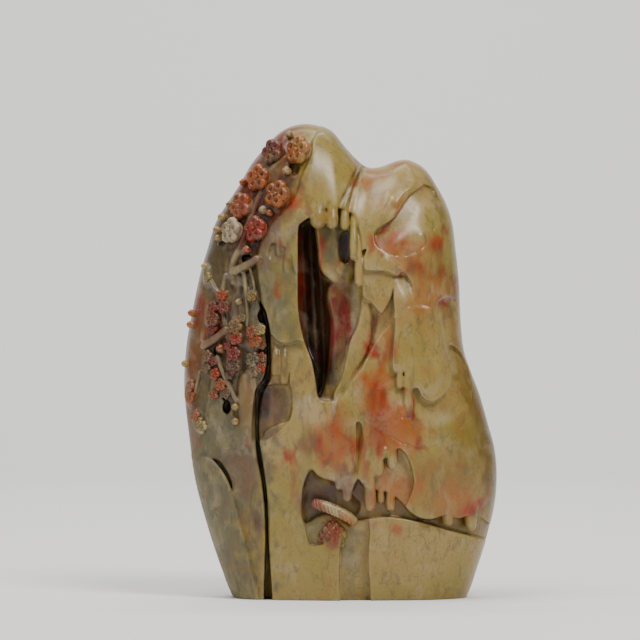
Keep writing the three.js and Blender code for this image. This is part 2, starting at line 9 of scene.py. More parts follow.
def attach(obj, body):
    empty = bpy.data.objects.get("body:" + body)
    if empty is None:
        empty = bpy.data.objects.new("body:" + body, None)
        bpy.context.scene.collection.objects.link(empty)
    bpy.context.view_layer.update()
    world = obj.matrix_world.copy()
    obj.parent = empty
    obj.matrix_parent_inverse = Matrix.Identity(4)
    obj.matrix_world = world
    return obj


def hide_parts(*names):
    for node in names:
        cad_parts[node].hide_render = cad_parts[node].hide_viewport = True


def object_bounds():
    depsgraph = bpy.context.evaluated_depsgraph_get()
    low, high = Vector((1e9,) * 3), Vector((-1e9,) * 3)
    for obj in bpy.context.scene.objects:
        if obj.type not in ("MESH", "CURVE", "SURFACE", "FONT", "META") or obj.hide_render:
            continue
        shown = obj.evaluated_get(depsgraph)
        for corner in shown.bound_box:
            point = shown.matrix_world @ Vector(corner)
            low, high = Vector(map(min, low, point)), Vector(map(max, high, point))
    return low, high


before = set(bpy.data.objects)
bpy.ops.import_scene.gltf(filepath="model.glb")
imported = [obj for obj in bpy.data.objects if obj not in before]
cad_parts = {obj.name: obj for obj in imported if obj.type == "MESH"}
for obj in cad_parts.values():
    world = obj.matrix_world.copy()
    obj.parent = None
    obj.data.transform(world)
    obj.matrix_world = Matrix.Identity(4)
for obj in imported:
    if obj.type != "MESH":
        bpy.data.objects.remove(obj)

bl_info = {
    "name": "Soapstone landscape carving",
    "version": (1, 0, 0),
    "blender": (4, 5, 0),
    "location": "3D View > Sidebar > Carving",
    "description": "Carves a soapstone mountain with drips, a gorge and a plum tree, and sets its stage",
    "category": "Object",
}

CAD_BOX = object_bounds()
NODE = "carved_mountain"
BODY = "root"
MM = 0.001

# The boulder, in millimetres as the carver measures it: across, depth and height. The carved
# face looks along -Y. SEAT moves the heart's line onto the frame's origin.
HEART_HEIGHT = 150
FRONT_BULGE = 52
BACK_BULGE = 44
ROUNDNESS = 2.4
SEAT = (0.257, 3.201)
PHOTO_WIDTH = 403.2
FRAME_CENTRE = (-12.6, 176.4)

SILHOUETTE = [
    (-29, 300.6), (-20, 301.5), (-12, 300), (-5, 296.7), (4, 286), (11, 278.5), (16, 274.6),
    (21, 273.3), (28, 274.7), (36, 277.8), (42, 278.6), (49, 276.3), (55, 271.8), (61, 263),
    (67.5, 251), (71.5, 239), (74, 220), (76, 200), (76.8, 180), (79, 157.5), (83.5, 143.6),
    (89, 129), (94.5, 110), (98.5, 95), (100, 80), (99, 62), (94.5, 41), (88, 20), (80.5, 0),
    (58, -30), (5, -48), (-48, -30), (-68, 0), (-76, 20), (-83, 41), (-92, 74), (-96.5, 105),
    (-99.3, 134), (-98, 159), (-94.5, 180), (-88.5, 208), (-84, 223), (-79, 239),
    (-71.8, 250.7), (-63.5, 263.5), (-56, 276.5), (-47.5, 286.5), (-38, 296.3),
]

# Depths from the boulder's skin. A minus sign is sunk.
PLUM_GROUND = -3.2
GORGE_FLOOR = -30
GORGE_SIDE_FLOOR = -12
GORGE_SHELF = (-6, 13)

# Edges of the carved areas, seen from the front: across, then height.
PLUM_EDGE = [(-25.2, 315), (-13.2, 299.2), (-17.6, 289.2), (-18.3, 282.2), (-21.4, 273.4), (-25.2, 264.6), (-27.7, 255.2),
    (-34.6, 246.3), (-42.2, 238.1), (-49.1, 226.8), (-52.3, 215.5), (-50.4, 195.3), (-48.5, 182.1), (-44.7, 169.5), (-44.7, 138.6),
    (-51.7, 127.3), (-52.9, 101.4), (-49.8, 90.1), (-47.2, 70.6), (-44.7, 58), (-45.4, 25.2), (-45.4, -9.4), (-119.7, -9.4), (-119.7, 315)]
GROOVE_EDGE = [(-50.7, 189), (-48.5, 177.7), (-46.6, 166.3), (-46.3, 147.4), (-48.2, 139.9), (-52.9, 132.3),
    (-53.2, 123.5), (-53.3, 110.2), (-52.9, 98.3), (-51.3, 86.9), (-49.1, 75.6), (-47.2, 56.7), (-46.9, 37.8), (-46.6, -7.6),
    (-44.1, -7.6), (-45, 41), (-46.3, 71.2), (-49.1, 90.7), (-50.8, 103.3), (-50.4, 123.5), (-47.9, 132.3), (-43.8, 139.2),
    (-43.5, 157.5), (-44.1, 170.1), (-46.9, 182.1)]
TRUNK_ROCK_EDGE = [(-80, 137.3), (-71.8, 128.5), (-63, 110.2), (-54.8, 100.8), (-51.7, 88.2), (-49.1, 75.6),
    (-47.2, 56.7), (-46.6, -7.6), (-110.2, -7.6), (-110.2, 81.9), (-94.5, 91.3), (-86.9, 104), (-84.4, 119.7)]
FOOT_SLAB_EDGE = [(-108.4, 78.1), (-94.5, 85), (-92.9, 88.5), (-88.8, 90.4), (-84.1, 90.5), (-79.7, 88),
    (-74.6, 82.3), (-70.5, 75.4), (-68.7, 70.6), (-63.6, 53.5), (-56.7, 25.2), (-52.9, -7.6), (-108.4, -7.6)]
NOTCH_EDGE = [(-80.6, 88.8), (-76.2, 87.6), (-71.2, 81.3), (-68, 73.1), (-68.4, 68), (-70.2, 73.1), (-74.6, 81.3)]
BEVEL_RIDGE = [(-86, 89.1), (-81.4, 82.3), (-76.6, 74.1), (-72.8, 66.8), (-68, 55.4), (-63.6, 37.8)]
PALE_TRUNK_EDGE = [(-63, 141.1), (-58.6, 144.3), (-52.9, 141.8), (-52.3, 131), (-53.9, 118.4), (-54.5, 102.1), (-57.3, 96.4),
    (-62.4, 100.2), (-63.9, 113.4), (-64.3, 127.3)]

LEFT_CREASE = [(-46.3, 170.1), (-43.8, 168.2), (-40.4, 164.1), (-35.7, 162), (-30.2, 162.4), (-24.6, 163.2)]
LEFT_STEP_EDGE = [(-46.3, 170.1), (-43.8, 168.2), (-40.4, 164.1), (-35.7, 162), (-30.2, 162.4), (-24.6, 163.2),
    (-17, 149.9), (-14.5, 133.6), (-13.9, 123.5), (-31.5, 121), (-47.9, 121)]
SIDE_COLUMN = [(-45.4, 160.7), (-38.4, 160.7), (-37.8, 145.5), (-32.1, 144.3), (-31.8, 136.1), (-31.9, 114.7), (-49.1, 100.8),
    (-53.5, 110.2), (-52.9, 131), (-46.6, 138.6)]
LEFT_RECESS_EDGE = [(-44.7, 135.4), (-38.4, 136.1), (-31.8, 134.8), (-31.9, 114), (-37.2, 111.8), (-42.8, 109.3),
    (-46.9, 106.5), (-48.8, 102.7), (-54.2, 100.8), (-53.5, 123.5), (-49.8, 131.7)]
SHOULDER_EDGE = [(-49, 102.7), (-47.2, 106.2), (-42.5, 109.6), (-32.9, 113.7), (-27.1, 115.9), (-17.6, 107.1), (-18.9, 81.9),
    (-23.9, 50.4), (-25.2, -7.6), (-44.4, -7.6), (-44.5, 40.6), (-46.2, 71.2), (-48.3, 92)]

GORGE_EDGE = [(-23.3, 238.1), (-25.8, 235.6), (-26.5, 226.8), (-26.5, 212.9), (-26.5, 198.4), (-26.1, 182.1), (-23, 165.1),
    (-17.6, 149.9), (-15.1, 136.7), (-13.5, 127.9), (-10.7, 125.7), (-4.4, 125.7), (0, 127.9), (7.6, 138.6), (16.4, 152.5),
    (23.3, 165.1), (33.4, 177.7), (33.4, 189), (32.1, 201), (15.8, 207), (14.2, 212.9), (12.6, 229.3), (7.6, 243.2),
    (-6.3, 247)]
BACK_TONGUE_EDGE = [(-14.2, 252), (-14.2, 220.5), (-12.9, 209.2), (-10.1, 204.8), (-5, 200.7), (0.6, 199.1), (5.7, 200.3),
    (8.8, 204.8), (11.3, 252)]
BACK_HOLLOW_EDGE = [(0.9, 230.6), (4.4, 233.1), (6.6, 228.7), (6.6, 217.3), (3.8, 212.3), (0, 214.8), (-0.9, 222.4)]
GORGE_RIGHT_EDGE = [(-6.3, 199.1), (13.9, 199.1), (16.4, 189), (13.9, 170.1), (7.6, 143.6), (0.6, 128.5), (-6.3, 124.7),
    (-11.3, 124.7), (-8.2, 143.6), (-6.3, 170.1)]
INNER_STRIP_EDGE = [(13.9, 206.6), (18.3, 189), (19.5, 173.2), (18.9, 160.7), (11.3, 146.2), (3.8, 133.6), (-2.5, 124.7),
    (-4.4, 128.5), (0.6, 139.9), (3.8, 152.5), (6.3, 163.8), (10.7, 172.6), (13.2, 189)]
ORANGE_COLUMN_EDGE = [(16.4, 195.3), (26.5, 195.3), (25.8, 178.9), (23.9, 170.1), (21.4, 162.5), (17, 156.2), (13.2, 157.5), (13.9, 173.2)]
LILAC_EDGE = [(22.7, 194), (34, 194), (34, 177), (28.4, 170.1), (21.4, 161.3), (23.3, 176.4)]
YELLOW_SLAB_EDGE = [(13.9, 212.9), (17.6, 207.3), (25.2, 207), (33.1, 206), (33.4, 199.1), (32.4, 191.5), (29.6, 185.2),
    (25.8, 180.5), (22.1, 184), (18.6, 187.7), (14.8, 190.3), (13.5, 200.3)]
LIP_EDGE = [(56.7, 264.6), (51, 260.2), (44.4, 255.8), (39.4, 249.2), (36.5, 244.1), (32.1, 239), (26.3, 235.4),
    (22.1, 231.8), (19.2, 224.5), (15.5, 218.7), (14, 212.3), (15.5, 207.6), (23.4, 207.5), (30, 206.5),
    (33.6, 204.8), (36.5, 204.3), (39.1, 206.5), (45.4, 212.9), (50.4, 226.8), (58, 242.6), (61.1, 254.5)]
RIGHT_CREASE = [(56.7, 264.6), (51, 260.2), (44.4, 255.8), (39.4, 249.2), (36.5, 244.1), (32.1, 239), (26.3, 235.4),
    (22.1, 231.8)]
RIGHT_STEP_EDGE = [(53.5, 262.1), (51, 260.2), (44.4, 255.8), (39.4, 249.2), (36.5, 244.1), (32.1, 239),
    (26.3, 235.4), (22.1, 231.8), (22.7, 223.7), (29, 218.6), (40.3, 216.7), (51.7, 221.8), (59.2, 234.4), (61.7, 248.2), (59.2, 258.3)]
FOLD_CREASE = [(19.5, 228.1), (17.6, 223.7), (15.5, 218.7), (14, 212.3), (15.5, 207.6), (23.4, 207.5),
    (30, 206.5), (33.6, 204.8), (36.5, 204.3), (39.4, 206.6)]
FOLD_STEP_EDGE = [(16.4, 221.1), (14, 212.3), (15.5, 207.6), (23.4, 207.5), (30, 206.5), (33.6, 204.8),
    (36.5, 204.3), (39.4, 206.6), (45.4, 196.6), (42.8, 185.2), (33.4, 176.4), (23.9, 175.1), (11.3, 189), (8.8, 212.9)]

TONGUE_CREASE = [(33.6, 177.7), (33.6, 144.3), (39.7, 144.3), (40.3, 133.6), (48.2, 133.6), (51, 128.5), (56.7, 125.2),
    (62.4, 127.3), (66.8, 131.7), (69.9, 138), (70.9, 147.4), (68.7, 160.7)]
TONGUE_STEP_EDGE = [(33.6, 177.7), (33.6, 144.3), (39.7, 144.3), (40.3, 133.6), (48.2, 133.6), (51, 128.5),
    (56.7, 125.2), (62.4, 127.3), (66.8, 131.7), (69.9, 138), (70.9, 147.4), (68.7, 160.7), (74.3, 157.5), (81.9, 139.9),
    (79.4, 113.4), (58, 97), (36.5, 100.8), (7.6, 124.1), (16.4, 152.5), (23.3, 165.1)]
INNER_TONGUE_EDGE = [(40.3, 182.7), (58, 182.7), (63.6, 160.7), (64.6, 143.6), (62.1, 134.8), (56.7, 130.1), (51, 132.9),
    (48.5, 139.9), (46.6, 157.5)]
CRESCENT = [(60.5, 185.2), (62.4, 188.7), (66.8, 190.9), (71.2, 190.3), (73.7, 188.4)]
CRESCENT_EDGE = [(60.5, 185.2), (62.4, 188.7), (66.8, 190.9), (71.2, 190.3), (73.7, 188.4), (73.1, 176.4), (66.8, 171.4), (61.1, 176.4)]

CLEFT_EDGE = [(10.4, 112.8), (12.6, 112.1), (14.2, 105.8), (15.1, 93.2), (14.8, 81.9), (14.2, 69.3), (13.2, 58),
    (8.8, 58), (8.5, 69.3), (9.4, 81.9), (10.4, 94.5), (9.8, 105.8)]
CLEFT_RIDGE = [(10.7, 110.9), (8.8, 100.8), (7.2, 91.3), (6, 81.9)]
UPPER_CURTAIN_EDGE = [(21.4, 81.9), (23.9, 86.9), (30.2, 91.3), (34.6, 95.1), (37.2, 96), (40.3, 93.5), (43.3, 88.2),
    (45.4, 81.3), (46, 74.3), (43.5, 64.9), (39.1, 58), (27.7, 55.4), (20.2, 57.3)]
LOWER_CURTAIN_EDGE = [(7.6, 69.3), (11.3, 76.9), (15.1, 71.8), (22.7, 69.9), (31.5, 68), (35.9, 64.5), (40, 60.3),
    (44.7, 55.4), (49.8, 52.4), (55.8, 51.3), (61.1, 52.3), (66.8, 54.2), (74.3, 51.7), (83.2, 53.5), (90.7, 50.4),
    (102.7, 34.6), (81.9, 40.3), (72.5, 42.8), (61.7, 46), (50.4, 49.5), (39.4, 51.8), (29, 52.9), (18.6, 52),
    (9.7, 50.2), (3.1, 50.4), (1.3, 63)]
CAVE_EDGE = [(-17.9, 82.7), (-14.5, 79.6), (-9.4, 76.9), (-3.8, 75.3), (1.3, 71.2), (7.6, 66.2), (12.6, 59.9),
    (7.6, 49.8), (3.1, 44.1), (-17.6, 34.6), (-22.1, 47.9), (-23.9, 54.2), (-23.9, 64.9), (-22.4, 75)]
LEDGE_SIDE_EDGE = [(3.8, 49.8), (10.1, 50.7), (17, 52), (17.6, 25.2), (17, -7.6), (3.1, -7.6)]
HILLOCK_EDGE = [(-27.7, -7.6), (-25.2, 34.6), (-22.1, 47.9), (-18.3, 50.4), (-13.9, 53.5), (-7.6, 55.1), (0, 52.3), (6.3, 46),
    (8.8, 25.2), (8.8, -7.6)]

SUMMIT_EDGE = [(-6.3, 240), (5.7, 243.8), (7.6, 238.1), (-6.3, 235.6), (-12.6, 238.1)]
DRIP_SHADOW_EDGE = [(-42.8, 224.3), (-35.3, 222.4), (-30.2, 215.5), (-29.6, 209.2), (-25.8, 201.6), (-26.5, 189), (-35.3, 189),
    (-42.2, 201.6)]
CRESCENT_LEAF = [(-20.2, 252), (-23.9, 247), (-29, 242.6), (-35.3, 239.4)]

# Soft ridges and dents of the skin: the line they follow, half width, and height.
RIDGES = [
    ([(-11.3, 297.4), (-17.6, 282.2), (-24.6, 257)], 5.7, 1.4),
    ([(41.6, 275.9), (44.4, 269.6), (46.9, 264.3), (44.7, 260.5), (39.4, 256.4), (35.3, 250.1)], 2.1, 1.5),
    ([(30.9, 253.9), (26.5, 245.1), (22.1, 235.6)], 3.8, 1.6),
    ([(29, 214.2), (34, 211.1), (39.1, 207.3)], 1.9, 1.5),
    ([(52.3, 229.3), (54.2, 210.4), (57.3, 191.5), (59.9, 176.4), (63, 156.2), (63.6, 143.6)], 5, 2.6),
    ([(35.3, 200.3), (41, 189)], 5, 2),
    ([(67.4, 185.2), (68, 178.9)], 3.8, -2.2),
    ([(10.7, 110.9), (8.8, 100.8), (7.2, 91.3), (5.7, 80.6)], 1.6, 1.5),
    ([(37.2, 97), (41, 94.2), (43.8, 88.8), (45.7, 81.9), (46.9, 75.6)], 1.9, 0.9),
    ([(-83.5, 108.4), (-78.8, 102.7), (-73.9, 95.9)], 2.5, 1.4),
    ([(-78.1, 113.4), (-71.8, 105.8), (-63, 98.3)], 3.2, 1),
    ([(-86, 89.1), (-81.4, 82.3), (-76.6, 74.1), (-72.8, 66.8), (-68, 55.4)], 2, 1.3),
    ([(-6.3, 189), (-1.3, 170.1), (-2.5, 144.9)], 3.8, 1.5),
    ([(12.6, 100.8), (20.2, 113.4), (31.5, 122.8)], 9, 0.8),
]

# Channels cut into the skin: the way, radius and depth of the axis.
CHANNELS = [
    ([(13.2, 276.6), (10.7, 270.9), (7.1, 263.3), (4.4, 257), (0.9, 250.1), (-0.9, 240)], 1.3, 0.1),
    ([(16.4, 275.3), (13.2, 269), (10.7, 263.3), (8.4, 256.4), (6.3, 247.6), (5.4, 240)], 1.4, 0.1),
    ([(-6.9, 250.1), (-8.2, 244.4), (-8.8, 238.8)], 1.1, -0.4),
    ([(19.8, 107.1), (18.9, 94.5), (19.5, 81.9)], 0.9, 0.1),
    ([(28.6, 110.2), (28.5, 100.8), (28.7, 89.5)], 1, 0.1),
    ([(10.7, 215.5), (9.4, 226.8), (8.5, 238.1)], 0.9, 0.2),
    ([(31.5, 143.6), (32.1, 113.4)], 0.5, 0.5),
    ([(-31.8, 136.1), (-31.9, 126), (-32, 114.7)], 0.9, -0.6),
    ([(-38.1, 160), (-37.8, 152.5), (-37.8, 145.5)], 0.7, 0),
    ([(40.1, 144.3), (39.4, 132.3), (38.7, 122.8), (38.7, 114.7)], 0.9, -0.4),
    ([(24.3, 102.7), (23.6, 90.7), (22.7, 81.9)], 0.7, 0.2),
]

# Hanging drips: across, height of the root, height of the tip, radius, depth of the front.
DRIPS = [
    (-13.9, 254.5, 233.7, 5.4, 0.9),
    (-5, 252, 233.4, 4, 0.3),
    (2.9, 252, 232.8, 3, -0.6),
    (8.5, 244.4, 213.7, 2.6, 0),
    (11.8, 234.4, 197.4, 2.8, -1.1),
    (-38.2, 229.3, 216.1, 2.4, 0.6),
    (-33.3, 223, 205, 2.9, 0.8),
    (-40.3, 157.5, 141.1, 3.1, 0.2),
    (-35, 156.2, 135.8, 2.9, 0.4),
    (36.3, 147.4, 143.3, 2.9, 0.2),
    (37.2, 149.9, 133.2, 2.3, -0.2),
    (42.6, 148.7, 113.7, 3.4, 0.1),
    (23.7, 98.3, 78.1, 3.9, 0.4),
    (32.5, 100.8, 82.7, 3.5, 0.3),
    (18.8, 85.7, 56.7, 3.7, 0.4),
    (25.2, 70.6, 61.1, 2.6, -3.6),
    (31.5, 70.6, 56.1, 3.1, -3),
    (67.7, 63, 46.6, 3.8, -0.5),
    (82.3, 63, 43.2, 4, 0),
    (4.3, 90.7, 62.7, 3.3, 0.2),
    (-0.8, 84.4, 69.9, 2.4, -0.6),
    (27.7, 97, 91.3, 2.8, 1),
]

# The plum tree's boughs lie on the sunk ground: radius at the root, at the end, height over the
# skin of the axis, and the way.
BOUGHS = [
    (2.8, 2, -3.6, [(-66.8, 200.3), (-67.4, 209.2), (-61.1, 226.8), (-52.9, 248.8), (-41.6, 272.2), (-30.2, 281)]),
    (2.7, 2.5, 0.3, [(-67.4, 206.6), (-59.2, 210.4), (-52, 214.8)]),
    (1.5, 1.1, -1.8, [(-60.5, 206.6), (-58.6, 189), (-58.3, 172.6)]),
    (1.1, 0.9, -1.8, [(-56.7, 209.2), (-54.2, 199.1), (-53.5, 189)]),
    (2.5, 2.6, 0.2, [(-85.7, 160), (-79.4, 163.8), (-71.5, 170.1)]),
    (1.7, 1.3, -0.4, [(-76.9, 153.1), (-73.1, 141.8), (-64.9, 125.4)]),
    (2.1, 1.2, -2.6, [(-71.8, 204.1), (-74.3, 189), (-71.8, 170.1), (-68, 156.2)]),
    (1.2, 0.9, -1.2, [(-73.1, 143.6), (-68.7, 135.4), (-65.5, 127.3)]),
    (1.3, 1, -2.2, [(-63, 189), (-62.4, 178.9), (-64.3, 168.8)]),
    (1.4, 1.1, -2, [(-88.2, 143.6), (-90.7, 133.6), (-93.2, 123.5)]),
    (1.6, 1.1, -2.4, [(-85, 209.2), (-80.6, 198.4), (-74.3, 190.3)]),
]

# Dark hollows between the flowers: across, height, half width, half height, depth.
HOLLOWS = [
    (-58.6, 214.8, 3.1, 3.1, 7),
    (-29, 272.2, 3.1, 5, 5),
    (-49.1, 178.9, 2.5, 4.4, 8),
    (-68.7, 168.2, 2.5, 3.8, 6),
    (-76.9, 156.2, 2.5, 3.8, 6),
    (-76.2, 141.1, 2.5, 3.1, 6),
    (-71.2, 121.6, 2.5, 4.4, 6),
    (-49.1, 156.2, 2.5, 6.3, 5),
    (-86.3, 162.5, 1.9, 2.5, 5),
    (-74.3, 226.2, 2.5, 3.8, 4),
    (-60.5, 248.2, 2.5, 3.8, 3),
    (-72.5, 129.2, 1.9, 3.1, 4),
    (-35.3, 254.5, 2.5, 3.1, 3),
    (-49.1, 124.7, 3.1, 5.7, 5),
    (-83.2, 194, 3.1, 5, 2),
]

FRONT_DRIP_SEAT = 0.45
BACK_TERRACES = [
    ([(-70, 214), (-48, 196), (-20, 203), (8, 186), (34, 196), (66, 178), (-10, 156), (-66, 178)],
     [(-48, 206, 185, 3.6), (8, 196, 173, 4), (-30, 206, 193, 3), (40, 198, 181, 3.2)]),
    ([(-84, 118), (-52, 96), (-22, 104), (12, 84), (44, 96), (90, 74), (4, 46), (-72, 74)],
     [(-52, 106, 84, 4), (12, 94, 71, 4.4), (-30, 108, 90, 3.2), (52, 102, 80, 3.6)]),
]
BACK_TERRACE_DEPTH = -2.6

# The pine at the cave's mouth, and the ribbed bough over it.
PINE_CROWN = (-4.5, 41.5, 10.5, 12.5, 9, -9)
RIBBED_BOUGH = {"way": [(-15.4, 61.1), (-7.6, 58.9), (0.6, 55.4), (8.8, 50.4)], "radius": 3.5, "sunk": -5.2}

# Flowers: across, height, radius, height of the centre over the skin, turn, colour, and how far
# the flower looks to the left, in degrees.
LARGE_BLOSSOMS = [
    (-26.5, 283.5, 9.7, 1.9, 14, "pink", 46), (-42.8, 282.9, 8.5, 1.9, 40, "mauve", 44), (-51.7, 266.2, 9, 1.3, 24, "pink", 42),
    (-39.7, 255.5, 9.3, 1.9, 0, "pink", 38), (-62.7, 248.2, 9.4, 1.3, 50, "salmon", 52), (-68.7, 232.8, 8.6, 1.9, 16, "chalk", 50),
    (-53.5, 233.7, 8.7, 0.6, 30, "orange", 44),
]
CLUSTERS = [
    (-73.1, 186.5, 4.1, 7.6, -0.4), (-80, 178.9, 5.4, 8.2, 0), (-65.8, 168.2, 5.4, 8.8, -0.4), (-66.5, 150.6, 5.4, 7.9, -0.4),
    (-52.9, 165.1, 5, 7.9, -0.6), (-53.5, 148.7, 5, 7.9, -0.6), (-83.8, 150.6, 3.1, 6.9, 0), (-76.9, 139.2, 4.4, 10.1, -0.4),
    (-94.5, 129.8, 4.1, 8.8, 0.4), (-88.8, 113.4, 4.7, 8.2, 0.4), (-55.1, 191.5, 2.5, 3.1, -1), (-83.2, 204.1, 3.1, 6.9, -0.8),
    (-85.7, 165.7, 1.9, 4.4, -0.4),
]
SMALL_BLOSSOMS = [
    (-74.3, 192.2, 4.1, 0.6, 10, "salmon", 30), (-73.3, 184.6, 4.7, 0.6, 40, "red", 20), (-80, 184, 4.4, 0.6, 0, "red", 40),
    (-80, 177, 5.4, 0.9, 25, "mauve", 40), (-80, 170.7, 3.8, 0, 0, "red", 40), (-65.8, 172, 5.4, 0.6, 0, "tan", 30),
    (-65.3, 165.1, 4.9, 0.6, 30, "orange", 24), (-66.6, 155, 5.4, 0.6, 12, "red", 30), (-66.6, 147.4, 5.4, 0.6, 50, "mauve", 30),
    (-55.6, 168.8, 4.3, 0.3, 0, "salmon", 34), (-50.1, 170.4, 3.9, 0, 30, "cream", 10),
    (-53.1, 163.2, 4.8, 0.3, 15, "salmon", 26), (-54.8, 151.8, 5.2, 0.3, 0, "ash", 34), (-54.8, 144, 4.4, 0, 40, "mauve", 30),
    (-49.3, 153.1, 3.5, 0, 10, "red", 10), (-49.8, 146.8, 3.7, 0, 33, "orange", 10), (-83.5, 153.7, 4.3, 0.6, 20, "lilac", 50),
    (-83.9, 146.5, 3.9, 0.6, 0, "ash", 50), (-79.4, 150.6, 3.4, 0.6, 40, "red", 30), (-78.8, 142.4, 4.2, 0.6, 0, "orange", 40),
    (-75, 135.8, 4.3, 0.6, 24, "salmon", 30), (-71.8, 130.4, 3.9, 0.6, 0, "mauve", 20), (-79.1, 129.8, 3.7, 0.3, 40, "orange", 40),
    (-94.2, 134.8, 4.3, 0.3, 0, "red", 60), (-94.2, 127.9, 4.5, 0.3, 30, "orange", 60),
    (-91, 116.2, 4.3, 0.3, 10, "orange", 56), (-86.9, 108.7, 4.3, 0.3, 0, "pale", 50),
    (-88.8, 112.5, 3.4, 0.6, 44, "cream", 50), (-55.4, 191.5, 3.8, 0, 20, "tan", 20), (-83.8, 203.5, 3.4, 0, 0, "cream", 60),
    (-70.6, 160, 3.1, 0, 0, "red", 20), (-61.7, 177.7, 3.1, 0, 30, "tan", 20), (-49.1, 160.7, 3.1, -0.6, 0, "mauve", 10),
    (-69.3, 141.8, 3.1, 0, 10, "mauve", 20),
]
# Buds, in the same order.
BUDS = [
    (-33.4, 270.3, 3.1, 0.6, 0, "pale", 20), (-31.8, 293.6, 2.8, 0, 0, "cream", 10), (-48.2, 245.4, 3.1, 0, 0, "pale", 20),
    (-44.4, 243.5, 2.5, 0, 0, "salmon", 20), (-58.6, 220.2, 3.1, 0, 0, "orange", 10), (-60.5, 263.3, 2.9, -0.6, 0, "salmon", 50),
    (-68.7, 249.2, 2.9, -1.3, 0, "tan", 60), (-73.7, 241.3, 3.1, -1.3, 0, "cream", 60), (-76.9, 233.1, 2.9, -1.3, 0, "cream", 60),
    (-76.5, 228.1, 2.5, -0.6, 0, "cream", 50), (-84.4, 210.1, 2.9, -1.3, 0, "cream", 60), (-92.9, 180.5, 2.9, -1.3, 0, "salmon", 70),
    (-93.6, 173.2, 2.9, -1.3, 0, "pink", 70), (-97, 148.4, 2.9, -1.3, 0, "cream", 70), (-65.5, 121.6, 2.9, -1.3, 0, "cream", 20),
    (-65.5, 112.5, 2.8, -1.3, 0, "cream", 20), (-63.6, 187.7, 2.3, -0.6, 0, "cream", 20), (-75, 158.1, 3.1, 0, 0, "salmon", 20),
]


# Smooth joins of two fields: small is inside, and the size is how wide the blend runs.
def soft_min(a, b, size):
    blend = np.maximum(size - np.abs(a - b), 0) / size
    return np.minimum(a, b) - blend * blend * size * 0.25


def soft_max(a, b, size):
    return -soft_min(-a, -b, size)


def smooth_step(value, low, high):
    share = np.clip((value - low) / (high - low), 0, 1)
    return share * share * (3 - 2 * share)


def rounded_line(points, steps=6, closed=True):
    """The points joined by a centripetal curve, so that it stays close to the carved edge."""
    points = np.asarray(points, float)
    count = len(points)
    spans = count if closed else count - 1
    line = []
    for i in range(spans):
        if closed:
            p0, p1, p2, p3 = (points[(i + k) % count] for k in (-1, 0, 1, 2))
        else:
            p0, p1, p2, p3 = (points[min(max(i + k, 0), count - 1)] for k in (-1, 0, 1, 2))
        t1 = max(np.linalg.norm(p1 - p0), 1e-3) ** 0.5
        t2 = t1 + max(np.linalg.norm(p2 - p1), 1e-3) ** 0.5
        t3 = t2 + max(np.linalg.norm(p3 - p2), 1e-3) ** 0.5
        for share in np.arange(steps) / steps:
            t = t1 + (t2 - t1) * share
            a1 = p0 + (p1 - p0) * (t / t1)
            a2 = p1 + (p2 - p1) * ((t - t1) / (t2 - t1))
            a3 = p2 + (p3 - p2) * ((t - t2) / (t3 - t2))
            b1 = a1 + (a2 - a1) * (t / t2)
            b2 = a2 + (a3 - a2) * ((t - t1) / (t3 - t1))
            line.append(b1 + (b2 - b1) * ((t - t1) / (t2 - t1)))
    if not closed:
        line.append(points[-1])
    return np.array(line)


def segment_gaps(a, b, x, z):
    """Distance from each point to one segment, and how far along it the nearest point lies."""
    way = b - a
    along = np.clip(((x - a[0]) * way[0] + (z - a[1]) * way[1]) / (way @ way + 1e-9), 0, 1)
    return np.hypot(x - a[0] - along * way[0], z - a[1] - along * way[1]), along


def line_gap(line, x, z):
    """Distance to an open line, and the share of the line where the nearest point lies."""
    nearest = np.full(x.shape, 1e9, np.float32)
    share = np.zeros(x.shape, np.float32)
    last = len(line) - 1
    for i in range(last):
        gap, along = segment_gaps(line[i], line[i + 1], x, z)
        closer = gap < nearest
        nearest = np.where(closer, gap, nearest)
        share = np.where(closer, (i + along) / last, share)
    return nearest, share


def edge_gap(edge, x, z):
    """Signed distance to a closed edge, less than nothing inside."""
    nearest = np.full(x.shape, 1e9, np.float32)
    inside = np.zeros(x.shape, bool)
    for a, b in zip(edge, np.roll(edge, -1, axis=0)):
        nearest = np.minimum(nearest, segment_gaps(a, b, x, z)[0])
        if a[1] != b[1]:
            crosses = (a[1] > z) != (b[1] > z)
            inside ^= crosses & (x < a[0] + (b[0] - a[0]) * (z - a[1]) / (b[1] - a[1]))
    return np.where(inside, -nearest, nearest)


def lattice(cells, seed):
    """A fixed pseudo-random value between -1 and 1 for each whole-number cell."""
    with np.errstate(over="ignore"):
        mixed = cells[..., 0] * np.uint32(374761393) + cells[..., 1] * np.uint32(668265263)
        mixed += cells[..., 2] * np.uint32(2147483647) + np.uint32(seed * 97 + 13)
        mixed = (mixed ^ (mixed >> np.uint32(13))) * np.uint32(1274126177)
        mixed ^= mixed >> np.uint32(16)
    return mixed.astype(np.float64) / 2 ** 31 - 1


def cloud(points, size, seed, octaves=3):
    """Soft noise between about -1 and 1 at each point. The size may differ by axis."""
    total = np.zeros(points.shape[:-1])
    weight = 1
    spread = np.asarray(size, float) * np.ones(3)
    for octave in range(octaves):
        place = points / spread + 1000
        cell = np.floor(place)
        share = place - cell
        share = share * share * (3 - 2 * share)
        cell = cell.astype(np.int64).astype(np.uint32)
        value = 0
        for corner in np.ndindex(2, 2, 2):
            step = np.array(corner, np.uint32)
            part = np.where(step == 1, share, 1 - share).prod(axis=-1)
            value = value + part * lattice(cell + step, seed + octave)
        total += value * weight
        weight *= 0.5
        spread = spread * 0.5
    return total


